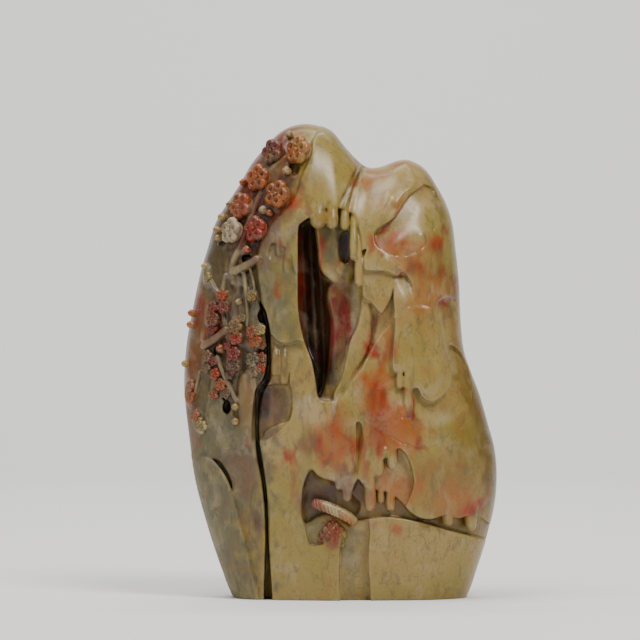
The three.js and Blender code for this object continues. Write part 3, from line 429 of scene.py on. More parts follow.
def reaches(x, z):
    """How far each place lies from the heart, as a share of the outline's reach there."""
    line = rounded_line(SILHOUETTE, 14)
    angle = np.arctan2(line[:, 1] - HEART_HEIGHT, line[:, 0])
    reach = np.hypot(line[:, 0], line[:, 1] - HEART_HEIGHT)
    order = np.argsort(angle)
    here = np.arctan2(z - HEART_HEIGHT, x)
    edge = np.interp(here, angle[order], reach[order], period=2 * math.pi)
    return np.hypot(x, z - HEART_HEIGHT) / edge


def skin_at(x, z, side=-1):
    """The skin's depth, with the swells left out."""
    reach = np.minimum(reaches(np.asarray(x, float), np.asarray(z, float)), 1)
    bulge = FRONT_BULGE if side < 0 else BACK_BULGE
    return side * bulge * (1 - reach ** ROUNDNESS) ** (1 / ROUNDNESS)


class Stone:
    """A block of cells that holds how far each cell lies outside the carved stone."""

    def __init__(self, cell):
        self.cell = cell
        self.x = np.arange(-104, 104, cell, dtype=np.float32)
        self.y = np.arange(-56, 49, cell, dtype=np.float32)
        self.z = np.arange(-3, 305, cell, dtype=np.float32)
        self.flat_x, self.flat_z = np.meshgrid(self.x, self.z, indexing="ij")
        self.reach = reaches(self.flat_x, self.flat_z).astype(np.float32)
        self.front_swell = np.zeros_like(self.flat_x)
        self.back_swell = np.zeros_like(self.flat_x)

    def shape_blank(self):
        """The plain boulder, front and back, with its swells."""
        slope_x, slope_z = np.gradient(self.reach, self.cell)
        power = ROUNDNESS
        flat = self.reach ** power
        tilt = self.reach ** (2 * power - 2) * (slope_x ** 2 + slope_z ** 2)
        field = np.empty((len(self.x), len(self.y), len(self.z)), np.float32)
        for row, y in enumerate(self.y):
            swell = self.front_swell if y < 0 else self.back_swell
            bulge = FRONT_BULGE if y < 0 else BACK_BULGE
            depth = np.abs(y - swell) / bulge
            total = flat + depth ** power
            size = total ** (1 / power)
            steep = depth ** (2 * power - 2) / bulge ** 2 + tilt
            slope = np.sqrt(steep + 1e-12) * size ** (1 - power)
            field[:, row, :] = (size - 1) / np.maximum(slope, 1e-4)
        self.field = field
        self.front = self.skin_map(-1)

    def skin_map(self, side):
        reach = np.minimum(self.reach, 1)
        bulge = FRONT_BULGE if side < 0 else BACK_BULGE
        swell = self.front_swell if side < 0 else self.back_swell
        return side * bulge * (1 - reach ** ROUNDNESS) ** (1 / ROUNDNESS) + swell

    def window(self, points, margin):
        low = np.min(points, axis=0) - margin
        high = np.max(points, axis=0) + margin
        across = slice(*np.searchsorted(self.x, (low[0], high[0])))
        up = slice(*np.searchsorted(self.z, (low[1], high[1])))
        return across, up

    def area(self, edge, margin=8):
        line = rounded_line(edge)
        across, up = self.window(line, margin)
        return across, up, edge_gap(line, self.flat_x[across, up], self.flat_z[across, up])

    def level(self, across, up, lift, side):
        """The field of a skin that is moved by the lift: less than nothing in front of it."""
        base = (self.front if side < 0 else self.skin_map(1))[across, up]
        depth = base + side * lift
        slope = np.gradient(depth, self.cell)
        steep = 1 / np.sqrt(1 + slope[0] ** 2 + slope[1] ** 2)
        return side * -1 * (self.y[None, :, None] - depth[:, None, :]) * steep[:, None, :]

    def sink(self, edge, lift, lip=1.6, foot=1.6, side=-1):
        """Cuts the area down to a lift below the skin, with a rounded lip and foot."""
        across, up, gap = self.area(edge)
        if callable(lift):
            lift = lift(self.flat_x[across, up], self.flat_z[across, up], gap)
        floor = self.level(across, up, lift, side)
        half = self.half(side)
        air = soft_max(gap[:, None, :], floor[:, half, :], foot)
        self.field[across, half, up] = soft_max(self.field[across, half, up], -air, lip)

    def half(self, side):
        middle = int(np.searchsorted(self.y, 2 if side < 0 else -2))
        return slice(0, middle) if side < 0 else slice(middle, len(self.y))

    def build(self, edge, lift, lip=1.6, foot=1.2, side=-1):
        """Builds the area out to a lift from the skin."""
        across, up, gap = self.area(edge)
        if callable(lift):
            lift = lift(self.flat_x[across, up], self.flat_z[across, up], gap)
        floor = self.level(across, up, lift, side)
        half = self.half(side)
        outside = (self.reach[across, up] - 1) * HEART_HEIGHT * 0.6
        piece = soft_max(np.maximum(gap, outside)[:, None, :], -floor[:, half, :], lip)
        self.field[across, half, up] = soft_min(self.field[across, half, up], piece, foot)

    def rod(self, points, radii, blend, carve=False):
        """Joins on a round rod through 3-D points, or cuts it away."""
        points = np.asarray(points, float)
        radii = np.asarray(radii, float)
        margin = radii.max() + blend + self.cell * 2
        across, up = self.window(points[:, [0, 2]], margin)
        deep = slice(*np.searchsorted(self.y, (points[:, 1].min() - margin, points[:, 1].max() + margin)))
        x = self.x[across][:, None, None]
        y = self.y[deep][None, :, None]
        z = self.z[up][None, None, :]
        nearest = np.full((x.size, y.size, z.size), 1e3, np.float32)
        for a, b, start, end in zip(points, points[1:], radii, radii[1:]):
            way = b - a
            along = ((x - a[0]) * way[0] + (y - a[1]) * way[1] + (z - a[2]) * way[2]) / (way @ way + 1e-9)
            along = np.clip(along, 0, 1)
            gap = np.sqrt((x - a[0] - along * way[0]) ** 2 + (y - a[1] - along * way[1]) ** 2
                          + (z - a[2] - along * way[2]) ** 2) - start - (end - start) * along
            nearest = np.minimum(nearest, gap)
        part = self.field[across, deep, up]
        if carve:
            self.field[across, deep, up] = soft_max(part, -nearest, blend)
        else:
            self.field[across, deep, up] = soft_min(part, nearest, blend)

    def lump(self, across, height, wide, tall, deep, lift, blend, pattern=None):
        """Joins on a rounded lump whose middle lies a lift over the skin."""
        depth = float(skin_at(across, height)) - lift
        over, up = self.window(np.array([[across, height]]), max(wide, tall) + blend + 2)
        x = (self.x[over][:, None, None] - across) / wide
        y = (self.y[None, :, None] - depth) / deep
        z = (self.z[up][None, None, :] - height) / tall
        size = np.sqrt(x * x + y * y + z * z)
        gap = (size - 1) * min(wide, deep, tall)
        if pattern:
            gap = gap + pattern(np.arctan2(x, -y), np.arcsin(np.clip(z / np.maximum(size, 1e-3), -1, 1)))
        self.field[over, :, up] = soft_min(self.field[over, :, up], gap, blend)

    def skin_way(self, way, lift, steps=4, side=-1):
        line = rounded_line(way, steps, closed=False)
        depth = skin_at(line[:, 0], line[:, 1], side) + side * lift
        return np.column_stack([line[:, 0], depth, line[:, 1]])


def drip_points(stone, row, side=-1):
    """A drip's axis and radii: narrow at the root, fullest just over its round tip."""
    x, root, tip, radius, lift = row
    shares = np.array([0, 0.2, 0.45, 0.8, 1.15])
    length = max(root - tip - radius, radius)
    heights = tip + radius * 0.92 + shares * length
    widths = radius * np.array([0.92, 1, 0.9, 0.86, 0.7])
    face = skin_at(np.full(5, x), heights, side) + side * lift
    sunk = radius * np.array([0.9, 0.95, 1, 1.25, 1.9])
    return np.column_stack([np.full(5, x), face - side * sunk, heights]), widths


# Lifts that vary over an area.
def gorge_floor(x, z, gap):
    shelf = smooth_step(x, *GORGE_SHELF)
    ribs = 1.8 * np.sin(x * 0.62 + 0.03 * z) * (1 - shelf)
    return GORGE_FLOOR + (GORGE_SIDE_FLOOR - GORGE_FLOOR) * shelf + ribs


def fade_from(line, depth, width, rise=0.8):
    """Deepest along a crease line, and out to the skin over the width."""
    crease = rounded_line(line, closed=False)

    def lift(x, z, gap):
        away = line_gap(crease, x, z)[0]
        away = np.where(gap < 0, away, -away * 0.3)
        return -depth + (depth + rise) * smooth_step(away, 0, width) * 1.0
    return lift


def add_swells(stone):
    """Soft ridges, dents, striations and hand-worked unevenness of the skin."""
    x, z = stone.flat_x, stone.flat_z
    for line, width, height in RIDGES:
        way = rounded_line(line, closed=False)
        across, up = stone.window(way, width * 3)
        gap = line_gap(way, x[across, up], z[across, up])[0]
        stone.front_swell[across, up] -= height * np.exp(-(gap / width) ** 2)
    places = np.stack([x, z, np.zeros_like(x)], axis=-1)
    swells_and_edge_highlight = cloud(places, (24, 34, 1), 3, 2) * 0.45
    tilted = np.stack([x - 0.35 * z, z, np.zeros_like(x)], axis=-1)
    strands = cloud(tilted, (2.6, 17, 1), 11, 3)
    rock = smooth_step(-x, 40, 52) * smooth_step(-z, -150, -120)
    plum = smooth_step(-x, 28, 55) * (1 - rock)
    rough = cloud(places, (4, 7, 1), 23, 3)
    inward = 1 - smooth_step(stone.reach, 0.93, 1.0)
    stone.front_swell += (swells_and_edge_highlight - strands * 0.34 * rock - rough * 0.9 * plum) * inward
    stone.back_swell -= cloud(places, (30, 40, 1), 31, 2) * 0.6 * inward


def carve_front(stone):
    """The carved face, from the large forms to the small ones."""
    stone.sink(PLUM_EDGE, PLUM_GROUND, lip=2.2, foot=1.5)
    stone.build(TRUNK_ROCK_EDGE, -1, lip=2, foot=2)
    stone.build(PALE_TRUNK_EDGE, 0.2, lip=2.6, foot=1)
    stone.sink(NOTCH_EDGE, -5.5, lip=0.8, foot=0.8)
    stone.build(FOOT_SLAB_EDGE, 2.2, lip=2.4, foot=0.6)
    stone.sink(DRIP_SHADOW_EDGE, fade_from(DRIP_SHADOW_EDGE[:5], 1.8, 20), lip=0.8, foot=0.8)
    stone.sink(LEFT_STEP_EDGE, fade_from(LEFT_CREASE, 4, 34), lip=1, foot=1)
    stone.sink(SIDE_COLUMN, -3.4, lip=1, foot=1)
    stone.sink(LEFT_RECESS_EDGE, -9, lip=1.6, foot=2.5)
    stone.sink(GROOVE_EDGE, -14, lip=1, foot=1.5)
    stone.sink(RIGHT_STEP_EDGE, fade_from(RIGHT_CREASE, 4, 18), lip=1, foot=0.8)
    stone.sink(FOLD_STEP_EDGE, fade_from(FOLD_CREASE, 4.6, 22), lip=1.2, foot=0.8)
    stone.sink(TONGUE_STEP_EDGE, fade_from(TONGUE_CREASE, 5.2, 26), lip=1.2, foot=0.8)
    stone.build(INNER_TONGUE_EDGE, 1.4, lip=2.4, foot=2)
    stone.sink(CRESCENT_EDGE, fade_from(CRESCENT, 2.8, 13), lip=0.7, foot=0.7)
    stone.sink(GORGE_EDGE, gorge_floor, lip=1.4, foot=4)
    stone.build(BACK_TONGUE_EDGE, -12, lip=3, foot=1.5)
    stone.sink(BACK_HOLLOW_EDGE, -18, lip=2, foot=3)
    stone.build(GORGE_RIGHT_EDGE, -14, lip=4, foot=3)
    stone.build(INNER_STRIP_EDGE, -6.5, lip=2.2, foot=2)
    stone.build(ORANGE_COLUMN_EDGE, -9, lip=2, foot=2)
    stone.build(LILAC_EDGE, -7, lip=2, foot=2)
    stone.build(YELLOW_SLAB_EDGE, -3.6, lip=1.8, foot=0.8)
    stone.sink(UPPER_CURTAIN_EDGE, -4.2, lip=1.2, foot=1.5)
    stone.sink(CLEFT_EDGE, fade_from(CLEFT_RIDGE, 5.2, 9), lip=1.2, foot=1.2)
    stone.sink(LOWER_CURTAIN_EDGE, -10, lip=1.3, foot=2)
    stone.sink(LEDGE_SIDE_EDGE, -6, lip=0.9, foot=1)
    stone.sink(CAVE_EDGE, -15, lip=1.6, foot=5)
    stone.build(HILLOCK_EDGE, -5, lip=3, foot=1.5)
    for way, radius, lift in CHANNELS:
        points = stone.skin_way(way, lift)
        radii = np.full(len(points), radius)
        radii[0] = radii[-1] = radius * 0.4
        stone.rod(points, radii, 0.9, carve=True)
    for x, z, wide, tall, depth in HOLLOWS:
        ring = [(x + wide * math.cos(a), z + tall * math.sin(a)) for a in np.linspace(0, 6.28, 9)[:-1]]
        stone.sink(ring, PLUM_GROUND - depth, lip=1.4, foot=3)


def add_relief(stone):
    """Drips, boughs, the blossom clusters and the ribbed bough over the pine, joined on with small fillets."""
    for row in DRIPS:
        stone.rod(*drip_points(stone, row), 1.1)
    for root, end, lift, way in BOUGHS:
        points = stone.skin_way(way, lift)
        points[:, 1] += cloud(points, 7, 41, 2) * 0.5
        radii = np.linspace(root, end, len(points)) * (1 + 0.1 * cloud(points, 4, 43, 1))
        stone.rod(points, radii, 0.9)
    for across, height, wide, tall, lift in CLUSTERS:
        stone.lump(across, height, wide, tall, 4.5, lift - 4.5, 2)
    way = stone.skin_way(RIBBED_BOUGH["way"], RIBBED_BOUGH["sunk"] + RIBBED_BOUGH["radius"] * 0.4)
    radius = np.interp(np.arange(len(way)), (0, 2, len(way) - 3, len(way) - 1), (0.75, 1, 1, 0.7))
    stone.rod(way, radius * RIBBED_BOUGH["radius"], 0.5)


def carve_back(stone):
    for edge, drips in BACK_TERRACES:
        stone.sink(edge, BACK_TERRACE_DEPTH, lip=1.8, foot=2, side=1)
        for x, root, tip, radius in drips:
            stone.rod(*drip_points(stone, (x, root, tip, radius, 0.2), side=1), 1.4)


def surface_net(stone):
    """Vertices and four-sided faces of the field's skin, one vertex in each crossed cell."""
    field = stone.field
    inside = field < 0
    shape = np.array(field.shape)
    ids, places, crossings = [], [], []
    for axis in range(3):
        front = [slice(None)] * 3
        back = [slice(None)] * 3
        front[axis] = slice(0, -1)
        back[axis] = slice(1, None)
        changes = inside[tuple(front)] != inside[tuple(back)]
        low = np.argwhere(changes)
        near = field[tuple(front)][changes]
        far = field[tuple(back)][changes]
        point = low.astype(np.float64)
        point[:, axis] += near / (near - far)
        first, second = (axis + 1) % 3, (axis + 2) % 3
        corners = []
        for step_one, step_two in ((1, 1), (0, 1), (0, 0), (1, 0)):
            cell = low.copy()
            cell[:, first] -= step_one
            cell[:, second] -= step_two
            corners.append(cell @ np.array([shape[1] * shape[2], shape[2], 1]))
            places.append(point)
        ids.append(np.stack(corners))
        crossings.append(near < 0)
    flat_ids = np.concatenate([corner for group in ids for corner in group])
    cells, lookup = np.unique(flat_ids, return_inverse=True)
    places = np.concatenate(places)
    count = np.bincount(lookup)
    vertices = np.stack([np.bincount(lookup, places[:, axis]) / count for axis in range(3)], axis=1)
    faces, start = [], 0
    for group, outward in zip(ids, crossings):
        quads = lookup[start:start + group.size].reshape(group.shape).T
        start += group.size
        faces.append(np.where(outward[:, None], quads, quads[:, ::-1]))
    origin = np.array([stone.x[0], stone.y[0], stone.z[0]])
    return vertices * stone.cell + origin, np.concatenate(faces)


# Colours as seen on the stone, red, green and blue from 0 to 255.
FULLNESS = 1.35
DEPTH = (0.72, 0.7, 0.66)
COLOURS = {
    "cream": (166, 149, 108), "celadon": (152, 140, 92), "olive": (102, 84, 44), "pale": (188, 174, 142),
    "grey_green": (110, 107, 86), "lilac": (114, 91, 77), "pink": (164, 106, 74), "salmon": (152, 78, 44),
    "red": (116, 36, 20), "orange": (148, 58, 12), "rust": (88, 34, 10), "brown": (42, 24, 13),
    "dark": (16, 11, 8), "mauve": (94, 60, 52), "blue_grey": (104, 108, 118), "tan": (130, 100, 62),
    "ash": (98, 92, 76), "chalk": (196, 184, 164),
}

# Stains in the stone, with a few patches of painted light and shade marked below: across, height, half width, half
# height, colour, strength, lean.
STAINS_AND_PAINTED_LIGHT = [
    (-66.2, 189, 39.1, 119.7, "ash", 0.75, 0),
    (-53.5, 248.8, 25.2, 41.6, "mauve", 1, 24),
    (-70.6, 157.5, 22.7, 37.8, "ash", 0.7, 0),
    (-74.3, 170.1, 17.6, 25.2, "mauve", 0.5, 0),
    (-42.8, 289.8, 21.4, 8.8, "red", 0.75, 30),
    (-58, 269.6, 7.6, 16.4, "orange", 0.9, 28),
    (-70.6, 241.9, 6.3, 20.2, "tan", 0.9, 18),
    (-80, 212.9, 8.8, 25.2, "grey_green", 0.7, 10),
    (-90.7, 170.1, 7.6, 37.8, "pink", 0.6, 4),
    (-88.8, 185.8, 3.8, 13.9, "orange", 0.9, 6),
    (-95.8, 126, 5.7, 37.8, "salmon", 0.55, -6),
    (-97, 107.1, 4.4, 18.9, "red", 0.5, -14),
    (-72.5, 100.8, 25.2, 31.5, "grey_green", 0.85, -20),
    (-63, 69.3, 18.9, 37.8, "ash", 0.7, -8),
    (-80.6, 56.7, 18.9, 44.1, "grey_green", 0.85, -16),
    (-74.3, 6.3, 27.7, 44.1, "grey_green", 0.8, 0),
    (-58, 122.8, 7.6, 22.7, "tan", 0.6, 0),
    (-57.3, 100.8, 2.5, 3.8, "red", 0.8, 0),
    (-49.1, 61.7, 1.9, 3.8, "rust", 0.9, 0),
    (-51.7, 50.4, 2.5, 7.6, "rust", 0.6, 10),
    (-61.1, 81.9, 10.1, 13.9, "lilac", 0.6, -20),
    (-37.8, 195.3, 13.9, 37.8, "grey_green", 0.45, 4),
    (-39.7, 195.3, 1.9, 5.7, "salmon", 0.8, 8),
    (-31.5, 252, 7.6, 6.3, "pink", 0.5, 35),
    (-27.1, 248.8, 5.7, 6.9, "salmon", 0.9, 35),
    (-37.2, 244.4, 6.3, 3.8, "red", 0.55, 30),
    (-36.5, 223, 6.3, 1.9, "red", 0.4, -15),
    (-32.8, 215.5, 7.6, 1.3, "red", 0.5, -14),
    (-45.4, 229.3, 5, 12.6, "lilac", 0.5, 20),
    (-41, 148.1, 7.6, 15.1, "tan", 0.35, 0),
    (-39.7, 133.6, 5.7, 3.8, "olive", 0.8, 0),
    (-42.8, 122.8, 8.8, 15.1, "lilac", 0.85, 0),
    (-47.9, 116.5, 3.1, 16.4, "ash", 0.85, 0),
    (-23.3, 302.4, 5.7, 4.4, "red", 0.3, 0),
    (-11.3, 292.9, 13.9, 11.3, "celadon", 0.6, 0),
    (-1.3, 267.8, 12.6, 25.2, "celadon", 0.7, 10),
    # Partly stone tone, partly painted shade: the olive down the summit's right slope, the side turned from the light.
    (7.6, 284.8, 5.7, 16.4, "olive", 0.4, -40),
    (7.6, 263.3, 2.5, 15.1, "olive", 0.85, 20),
    (12.6, 269.6, 2.5, 10.1, "olive", 0.6, 22),
    (6.9, 260.2, 1.9, 3.1, "red", 0.45, 0),
    (18.9, 263.3, 6.3, 8.8, "orange", 0.5, 25),
    (22.1, 258.3, 3.8, 5.7, "rust", 0.35, 25),
    (31.5, 269.6, 10.1, 2.5, "salmon", 0.55, 32),
    (39.1, 275.9, 8.8, 3.1, "salmon", 0.45, 10),
    (17.6, 245.7, 8.8, 18.9, "cream", 0.6, 20),
    (36.5, 248.2, 6.3, 3.8, "pink", 0.6, 50),
    (29, 235.6, 6.3, 2.1, "red", 0.95, 42),
    (35.3, 243.2, 4.4, 1.9, "salmon", 0.8, 48),
    (49.1, 242.6, 8.8, 16.4, "pale", 0.5, 10),
    (21.4, 220.5, 7.6, 1.9, "red", 0.6, 70),
    (28.4, 224.9, 11.3, 6.3, "orange", 0.65, 20),
    (36.5, 229.3, 6.3, 3.8, "salmon", 0.6, 10),
    (44.1, 217.3, 12.6, 11.3, "salmon", 0.55, 0),
    (49.1, 206.6, 10.1, 8.8, "red", 0.5, 20),
    (37.2, 206, 3.1, 1.9, "red", 0.8, -30),
    (61.7, 252, 3.1, 13.9, "olive", 0.6, -20),
    (65.5, 235.6, 3.1, 3.1, "red", 0.75, 0),
    (61.1, 225.5, 4.4, 3.8, "orange", 0.75, 0),
    (60.5, 218.6, 4.4, 5, "red", 0.5, 0),
    (64.3, 204.8, 5.7, 6.3, "red", 0.65, 0),
    (72.5, 196.6, 5, 8.8, "rust", 0.7, 0),
    (66.8, 188.4, 7.6, 2.1, "red", 0.95, 0),
    (63.6, 187.7, 1.9, 5, "red", 0.8, 30),
    (68, 181.4, 6.3, 5.7, "lilac", 0.6, 0),
    (56.7, 194, 16.4, 8.8, "pink", 0.6, 0),
    # Painted highlight: the pale patch on the ridge at the foot of the right slab.
    (37.8, 195.3, 10.1, 8.8, "pale", 0.55, 20),
    (49.1, 185.2, 7.6, 3.8, "salmon", 0.5, 0),
    (73.1, 163.8, 3.8, 25.2, "tan", 0.5, -10),
    # Partly the stone's olive, partly painted shade: the olive down the right edge, where the stone turns away from the
    # light.
    (86.9, 132.3, 10.1, 37.8, "olive", 0.75, -10),
    (95.8, 81.9, 7.6, 37.8, "olive", 0.85, 4),
    (81.9, 88.2, 18.9, 37.8, "olive", 0.35, 0),
    (50.4, 157.5, 16.4, 29, "celadon", 0.4, 0),
    (23.9, 189, 6.3, 8.8, "cream", 0.9, 0),
    (20.2, 157.5, 5.7, 5.7, "orange", 0.95, 40),
    (29, 156.2, 5, 10.1, "orange", 0.6, 20),
    (29, 167.6, 4.4, 5.7, "pink", 0.5, 0),
    (23.9, 138.6, 11.3, 8.8, "pink", 0.6, 0),
    (22.7, 126, 7.6, 15.1, "salmon", 0.75, 0),
    (20.8, 131, 1.9, 7.6, "red", 0.7, 12),
    (27.1, 127.3, 2.5, 8.2, "red", 0.7, 0),
    (16.4, 123.5, 1.9, 4.4, "orange", 0.6, -10),
    (28.4, 110.2, 13.9, 21.4, "salmon", 0.8, 0),
    (23.9, 105.8, 3.1, 16.4, "red", 0.4, 4),
    (40.3, 107.1, 11.3, 18.9, "pink", 0.8, 0),
    (46, 115.9, 3.8, 6.3, "red", 0.75, -10),
    (43.5, 114.3, 2.5, 1.3, "rust", 0.9, 0),
    (49.1, 100.8, 3.1, 5, "red", 0.6, 10),
    (52.3, 98.9, 3.1, 2.5, "red", 0.4, 0),
    (66.8, 96.4, 1.9, 1.3, "rust", 0.6, 0),
    (44.7, 73.1, 2.5, 1.3, "red", 0.9, -20),
    (63, 75.6, 25.2, 21.4, "tan", 0.5, 0),
    (72.5, 63, 16.4, 10.1, "pink", 0.5, 0),
    (37.8, 69.3, 16.4, 11.3, "pink", 0.6, 0),
    (-6.3, 100.8, 16.4, 15.1, "salmon", 0.8, 0),
    (-11.3, 105.8, 2.5, 8.8, "red", 0.6, 14),
    (-6.3, 110.2, 2.5, 5, "orange", 0.5, 0),
    (-15.1, 100.8, 2.5, 6.3, "orange", 0.7, 0),
    (-1.3, 110.9, 3.8, 3.1, "orange", 0.6, 0),
    (-3.8, 84.4, 5, 3.8, "red", 0.6, -30),
    (7.6, 100.8, 2.5, 15.1, "orange", 0.7, -6),
    (7.6, 84.4, 1.9, 10.1, "rust", 0.6, 0),
    (13.2, 97, 2.5, 15.1, "salmon", 0.7, 0),
    (17.6, 84.4, 3.1, 6.3, "red", 0.65, 0),
    (20.2, 63, 3.1, 7.6, "pink", 0.6, 0),
    (-18.9, 119.7, 8.8, 6.3, "chalk", 0.4, 0),
    # Painted highlight: the chalk strip along the gorge's lower lip, whose top catches the light.
    (-9.4, 125.4, 10.1, 2.1, "chalk", 0.9, 0),
    (-32.1, 90.7, 1.9, 5, "orange", 0.9, -8),
    (-29, 75.6, 3.1, 16.4, "salmon", 0.4, -8),
    (-20.2, 100.8, 4.4, 15.1, "ash", 0.5, 0),
    (-27.7, 68, 2.5, 12.6, "rust", 0.25, 0),
    (-22.1, 63, 3.1, 16.4, "rust", 0.6, 0),
    (-13.9, 63, 11.3, 13.9, "lilac", 1, 0),
    (0, 69.3, 11.3, 10.1, "lilac", 1, 0),
    (12.6, 66.2, 6.3, 11.3, "lilac", 0.7, 0),
    (21.4, 50.4, 5, 1.9, "pink", 0.6, 0),
    (36.5, 47.2, 5.7, 2.5, "orange", 0.85, -10),
    (46.6, 49.8, 6.3, 1.3, "rust", 0.6, -12),
    (58, 47.2, 12.6, 1.3, "olive", 0.8, -14),
    (85, 56.7, 3.1, 3.8, "red", 0.9, -40),
    (83.2, 59.2, 8.8, 3.1, "orange", 0.8, 20),
    (89.5, 61.1, 2.5, 1.9, "red", 0.7, 20),
    (31.5, 25.2, 37.8, 18.9, "cream", 0.5, 0),
    (7.6, 25.2, 6.3, 25.2, "grey_green", 0.7, 0),
    (-15.1, 44.1, 10.1, 8.8, "grey_green", 0.75, 0),
    (-4.4, 42.8, 8.2, 10.1, "red", 0.8, 0),
    (-13.9, 60.5, 3.1, 2.5, "orange", 0.9, 0),
    (-5, 57.3, 7.6, 3.1, "pale", 0.9, -24),
    (5.7, 52.3, 5, 3.1, "pink", 0.9, -30),
]

# Stains down in the gorge, and on the pieces that stand in it, with a strip of painted shade marked below.
GORGE_STAINS_AND_SHADE = [
    # Partly the stone's brown, partly painted shade: the dark brown strip down the gorge's deep floor, with a
    # near-black core.
    (-18.3, 170.1, 6.3, 56.7, "brown", 1, 0),
    (-16.4, 157.5, 3.1, 31.5, "dark", 0.8, -4),
    (-25.8, 212.9, 3.1, 29, "orange", 1, 0),
    (-23.9, 173.2, 2.8, 25.2, "rust", 1, -6),
    (-19.5, 143.6, 1.9, 15.1, "rust", 0.9, -8),
    (-4.4, 223.7, 9.4, 21.4, "grey_green", 0.95, 0),
    (-12, 219.2, 2.5, 15.1, "orange", 0.7, 0),
    (3.1, 223, 4.4, 8.2, "blue_grey", 0.95, 0),
    (2.5, 210.4, 5.7, 3.1, "red", 0.75, 0),
    (-2.5, 204.1, 8.8, 3.8, "pale", 0.7, 0),
    (0, 173.2, 12.6, 29, "mauve", 1, 0),
    (-1.3, 189, 10.1, 8.8, "rust", 0.5, 0),
    (3.8, 177.7, 3.1, 12.6, "red", 0.7, 0),
    (-3.8, 167.6, 3.1, 12.6, "red", 0.7, 0),
    (-6.3, 143.6, 5, 16.4, "brown", 0.8, 0),
    (6.9, 152.5, 5, 16.4, "pale", 0.9, 20),
    (15.1, 177.7, 2.5, 15.1, "cream", 0.8, 0),
    (20.8, 172.6, 3.1, 12.6, "rust", 1, 8),
    (27.7, 179.6, 4.4, 11.3, "mauve", 0.85, 20),
    (-5.7, 129.2, 3.1, 5, "tan", 0.6, 0),
]


def as_light(colour):
    """A colour seen as 0 to 255, as the amount of light that a shader takes."""
    share = np.asarray(colour, float) / 255
    return np.where(share <= 0.04045, share / 12.92, ((share + 0.055) / 1.055) ** 2.4)


def stone_light(name):
    """A stone colour as the bare shader takes it: deeper and fuller than it looks under wax."""
    light = as_light(COLOURS[name])
    grey = light @ (0.3, 0.6, 0.1)
    return np.clip((grey + (light - grey) * FULLNESS) * DEPTH, 0.002, 1)


def lay_colour_patches(colour, places, warp, colour_patches, mask=1.0):
    """Lays each colour patch over the colour, stains and painted light alike. A tall patch leans to the right, a wide
    one rises to it.
    """
    x, z = places[:, 0] + warp[:, 0], places[:, 2] + warp[:, 1]
    for across, height, wide, tall, name, strength, lean in colour_patches:
        turn = math.radians(lean if wide > tall else -lean)
        along = (x - across) * math.cos(turn) + (z - height) * math.sin(turn)
        up = (z - height) * math.cos(turn) - (x - across) * math.sin(turn)
        away = np.hypot(along / wide, up / tall)
        share = strength * (1 - smooth_step(away * (1 + 0.4 * warp[:, 2]), 0.45, 1.35)) * mask * warp[:, 3]
        colour += (stone_light(name) - colour) * share[:, None]
    return colour


def stone_colours(places, sunk):
    """A colour for each vertex: cream stone, then the stains in turn with a few patches of painted light, painted shade
    on the sunk plum ground and down in the gorge, broken up by soft noise.
    """
    broad = cloud(places, (26, 26, 34), 51, 2)
    warp = np.column_stack([cloud(places, (9, 9, 14), 53, 3) * 2.6, cloud(places, (9, 9, 14), 57, 3) * 4,
                            cloud(places, (5, 5, 7), 59, 3),
                            0.72 + 0.4 * smooth_step(cloud(places, (2.4, 2.4, 7), 67, 3), -0.7, 0.6)])
    colour = np.empty((len(places), 3))
    colour[:] = stone_light("cream")
    colour += (stone_light("celadon") - colour) * smooth_step(broad, -0.5, 0.7)[:, None]
    back = smooth_step(places[:, 1], -6, 14)
    pink = smooth_step(cloud(places, (30, 30, 40), 61, 3), 0.1, 0.7) * back * 0.7
    colour += (stone_light("salmon") - colour) * pink[:, None]
    olive = smooth_step(cloud(places, (40, 40, 30), 63, 3), 0.0, 0.8) * back * 0.6
    colour += (stone_light("olive") - colour) * olive[:, None]
    colour = lay_colour_patches(colour, places, warp, STAINS_AND_PAINTED_LIGHT, 1 - back * 0.85)
    # Painted browner on the sunk plum ground, and nearly brown in the hollows sunk deeper between the flowers: partly
    # the ground's own tone, partly painted shade in the hollows.
    plum = smooth_step(-places[:, 0], 43, 46) * smooth_step(places[:, 2], 112, 120)
    ground_tone_and_hollow_shade = np.maximum(smooth_step(sunk, 3.9, 7) * 0.92, smooth_step(sunk, 1.6, 3.2) * 0.4)
    colour += (stone_light("brown") - colour) * (plum * ground_tone_and_hollow_shade)[:, None]
    # Painted shade: down in the gorge the colour darkens towards brown the deeper it is sunk.
    deep = smooth_step(sunk, 5.5, 9.5)
    in_gorge = deep * smooth_step(places[:, 2], 112, 122) * smooth_step(places[:, 0], -31, -27)
    shade = stone_light("brown") * 1.1
    colour += (shade - colour) * (in_gorge * smooth_step(sunk, 10, 22) * 0.8)[:, None]
    return lay_colour_patches(colour, places, warp, GORGE_STAINS_AND_SHADE, in_gorge)


def tight_places(stone, points, normals):
    """How enclosed each point is, from 0 in the open to 1 deep in a corner. The stone's material paints shade where it
    runs high and a highlight where it runs low.
    """
    step = 2
    solid = (stone.field[::step, ::step, ::step] < 0).astype(np.float32)
    for _ in range(3):
        for axis in range(3):
            solid = (np.roll(solid, 1, axis) + solid + np.roll(solid, -1, axis)) / 3
    size = stone.cell * step
    origin = np.array([stone.x[0], stone.y[0], stone.z[0]])
    place = np.clip((points + normals * 1.6 - origin) / size, 0, np.array(solid.shape) - 1.001)
    cell = place.astype(int)
    share = place - cell
    total = np.zeros(len(points))
    for corner in np.ndindex(2, 2, 2):
        part = np.where(np.array(corner) == 1, share, 1 - share).prod(axis=1)
        total += part * solid[tuple((cell + corner).T)]
    return total


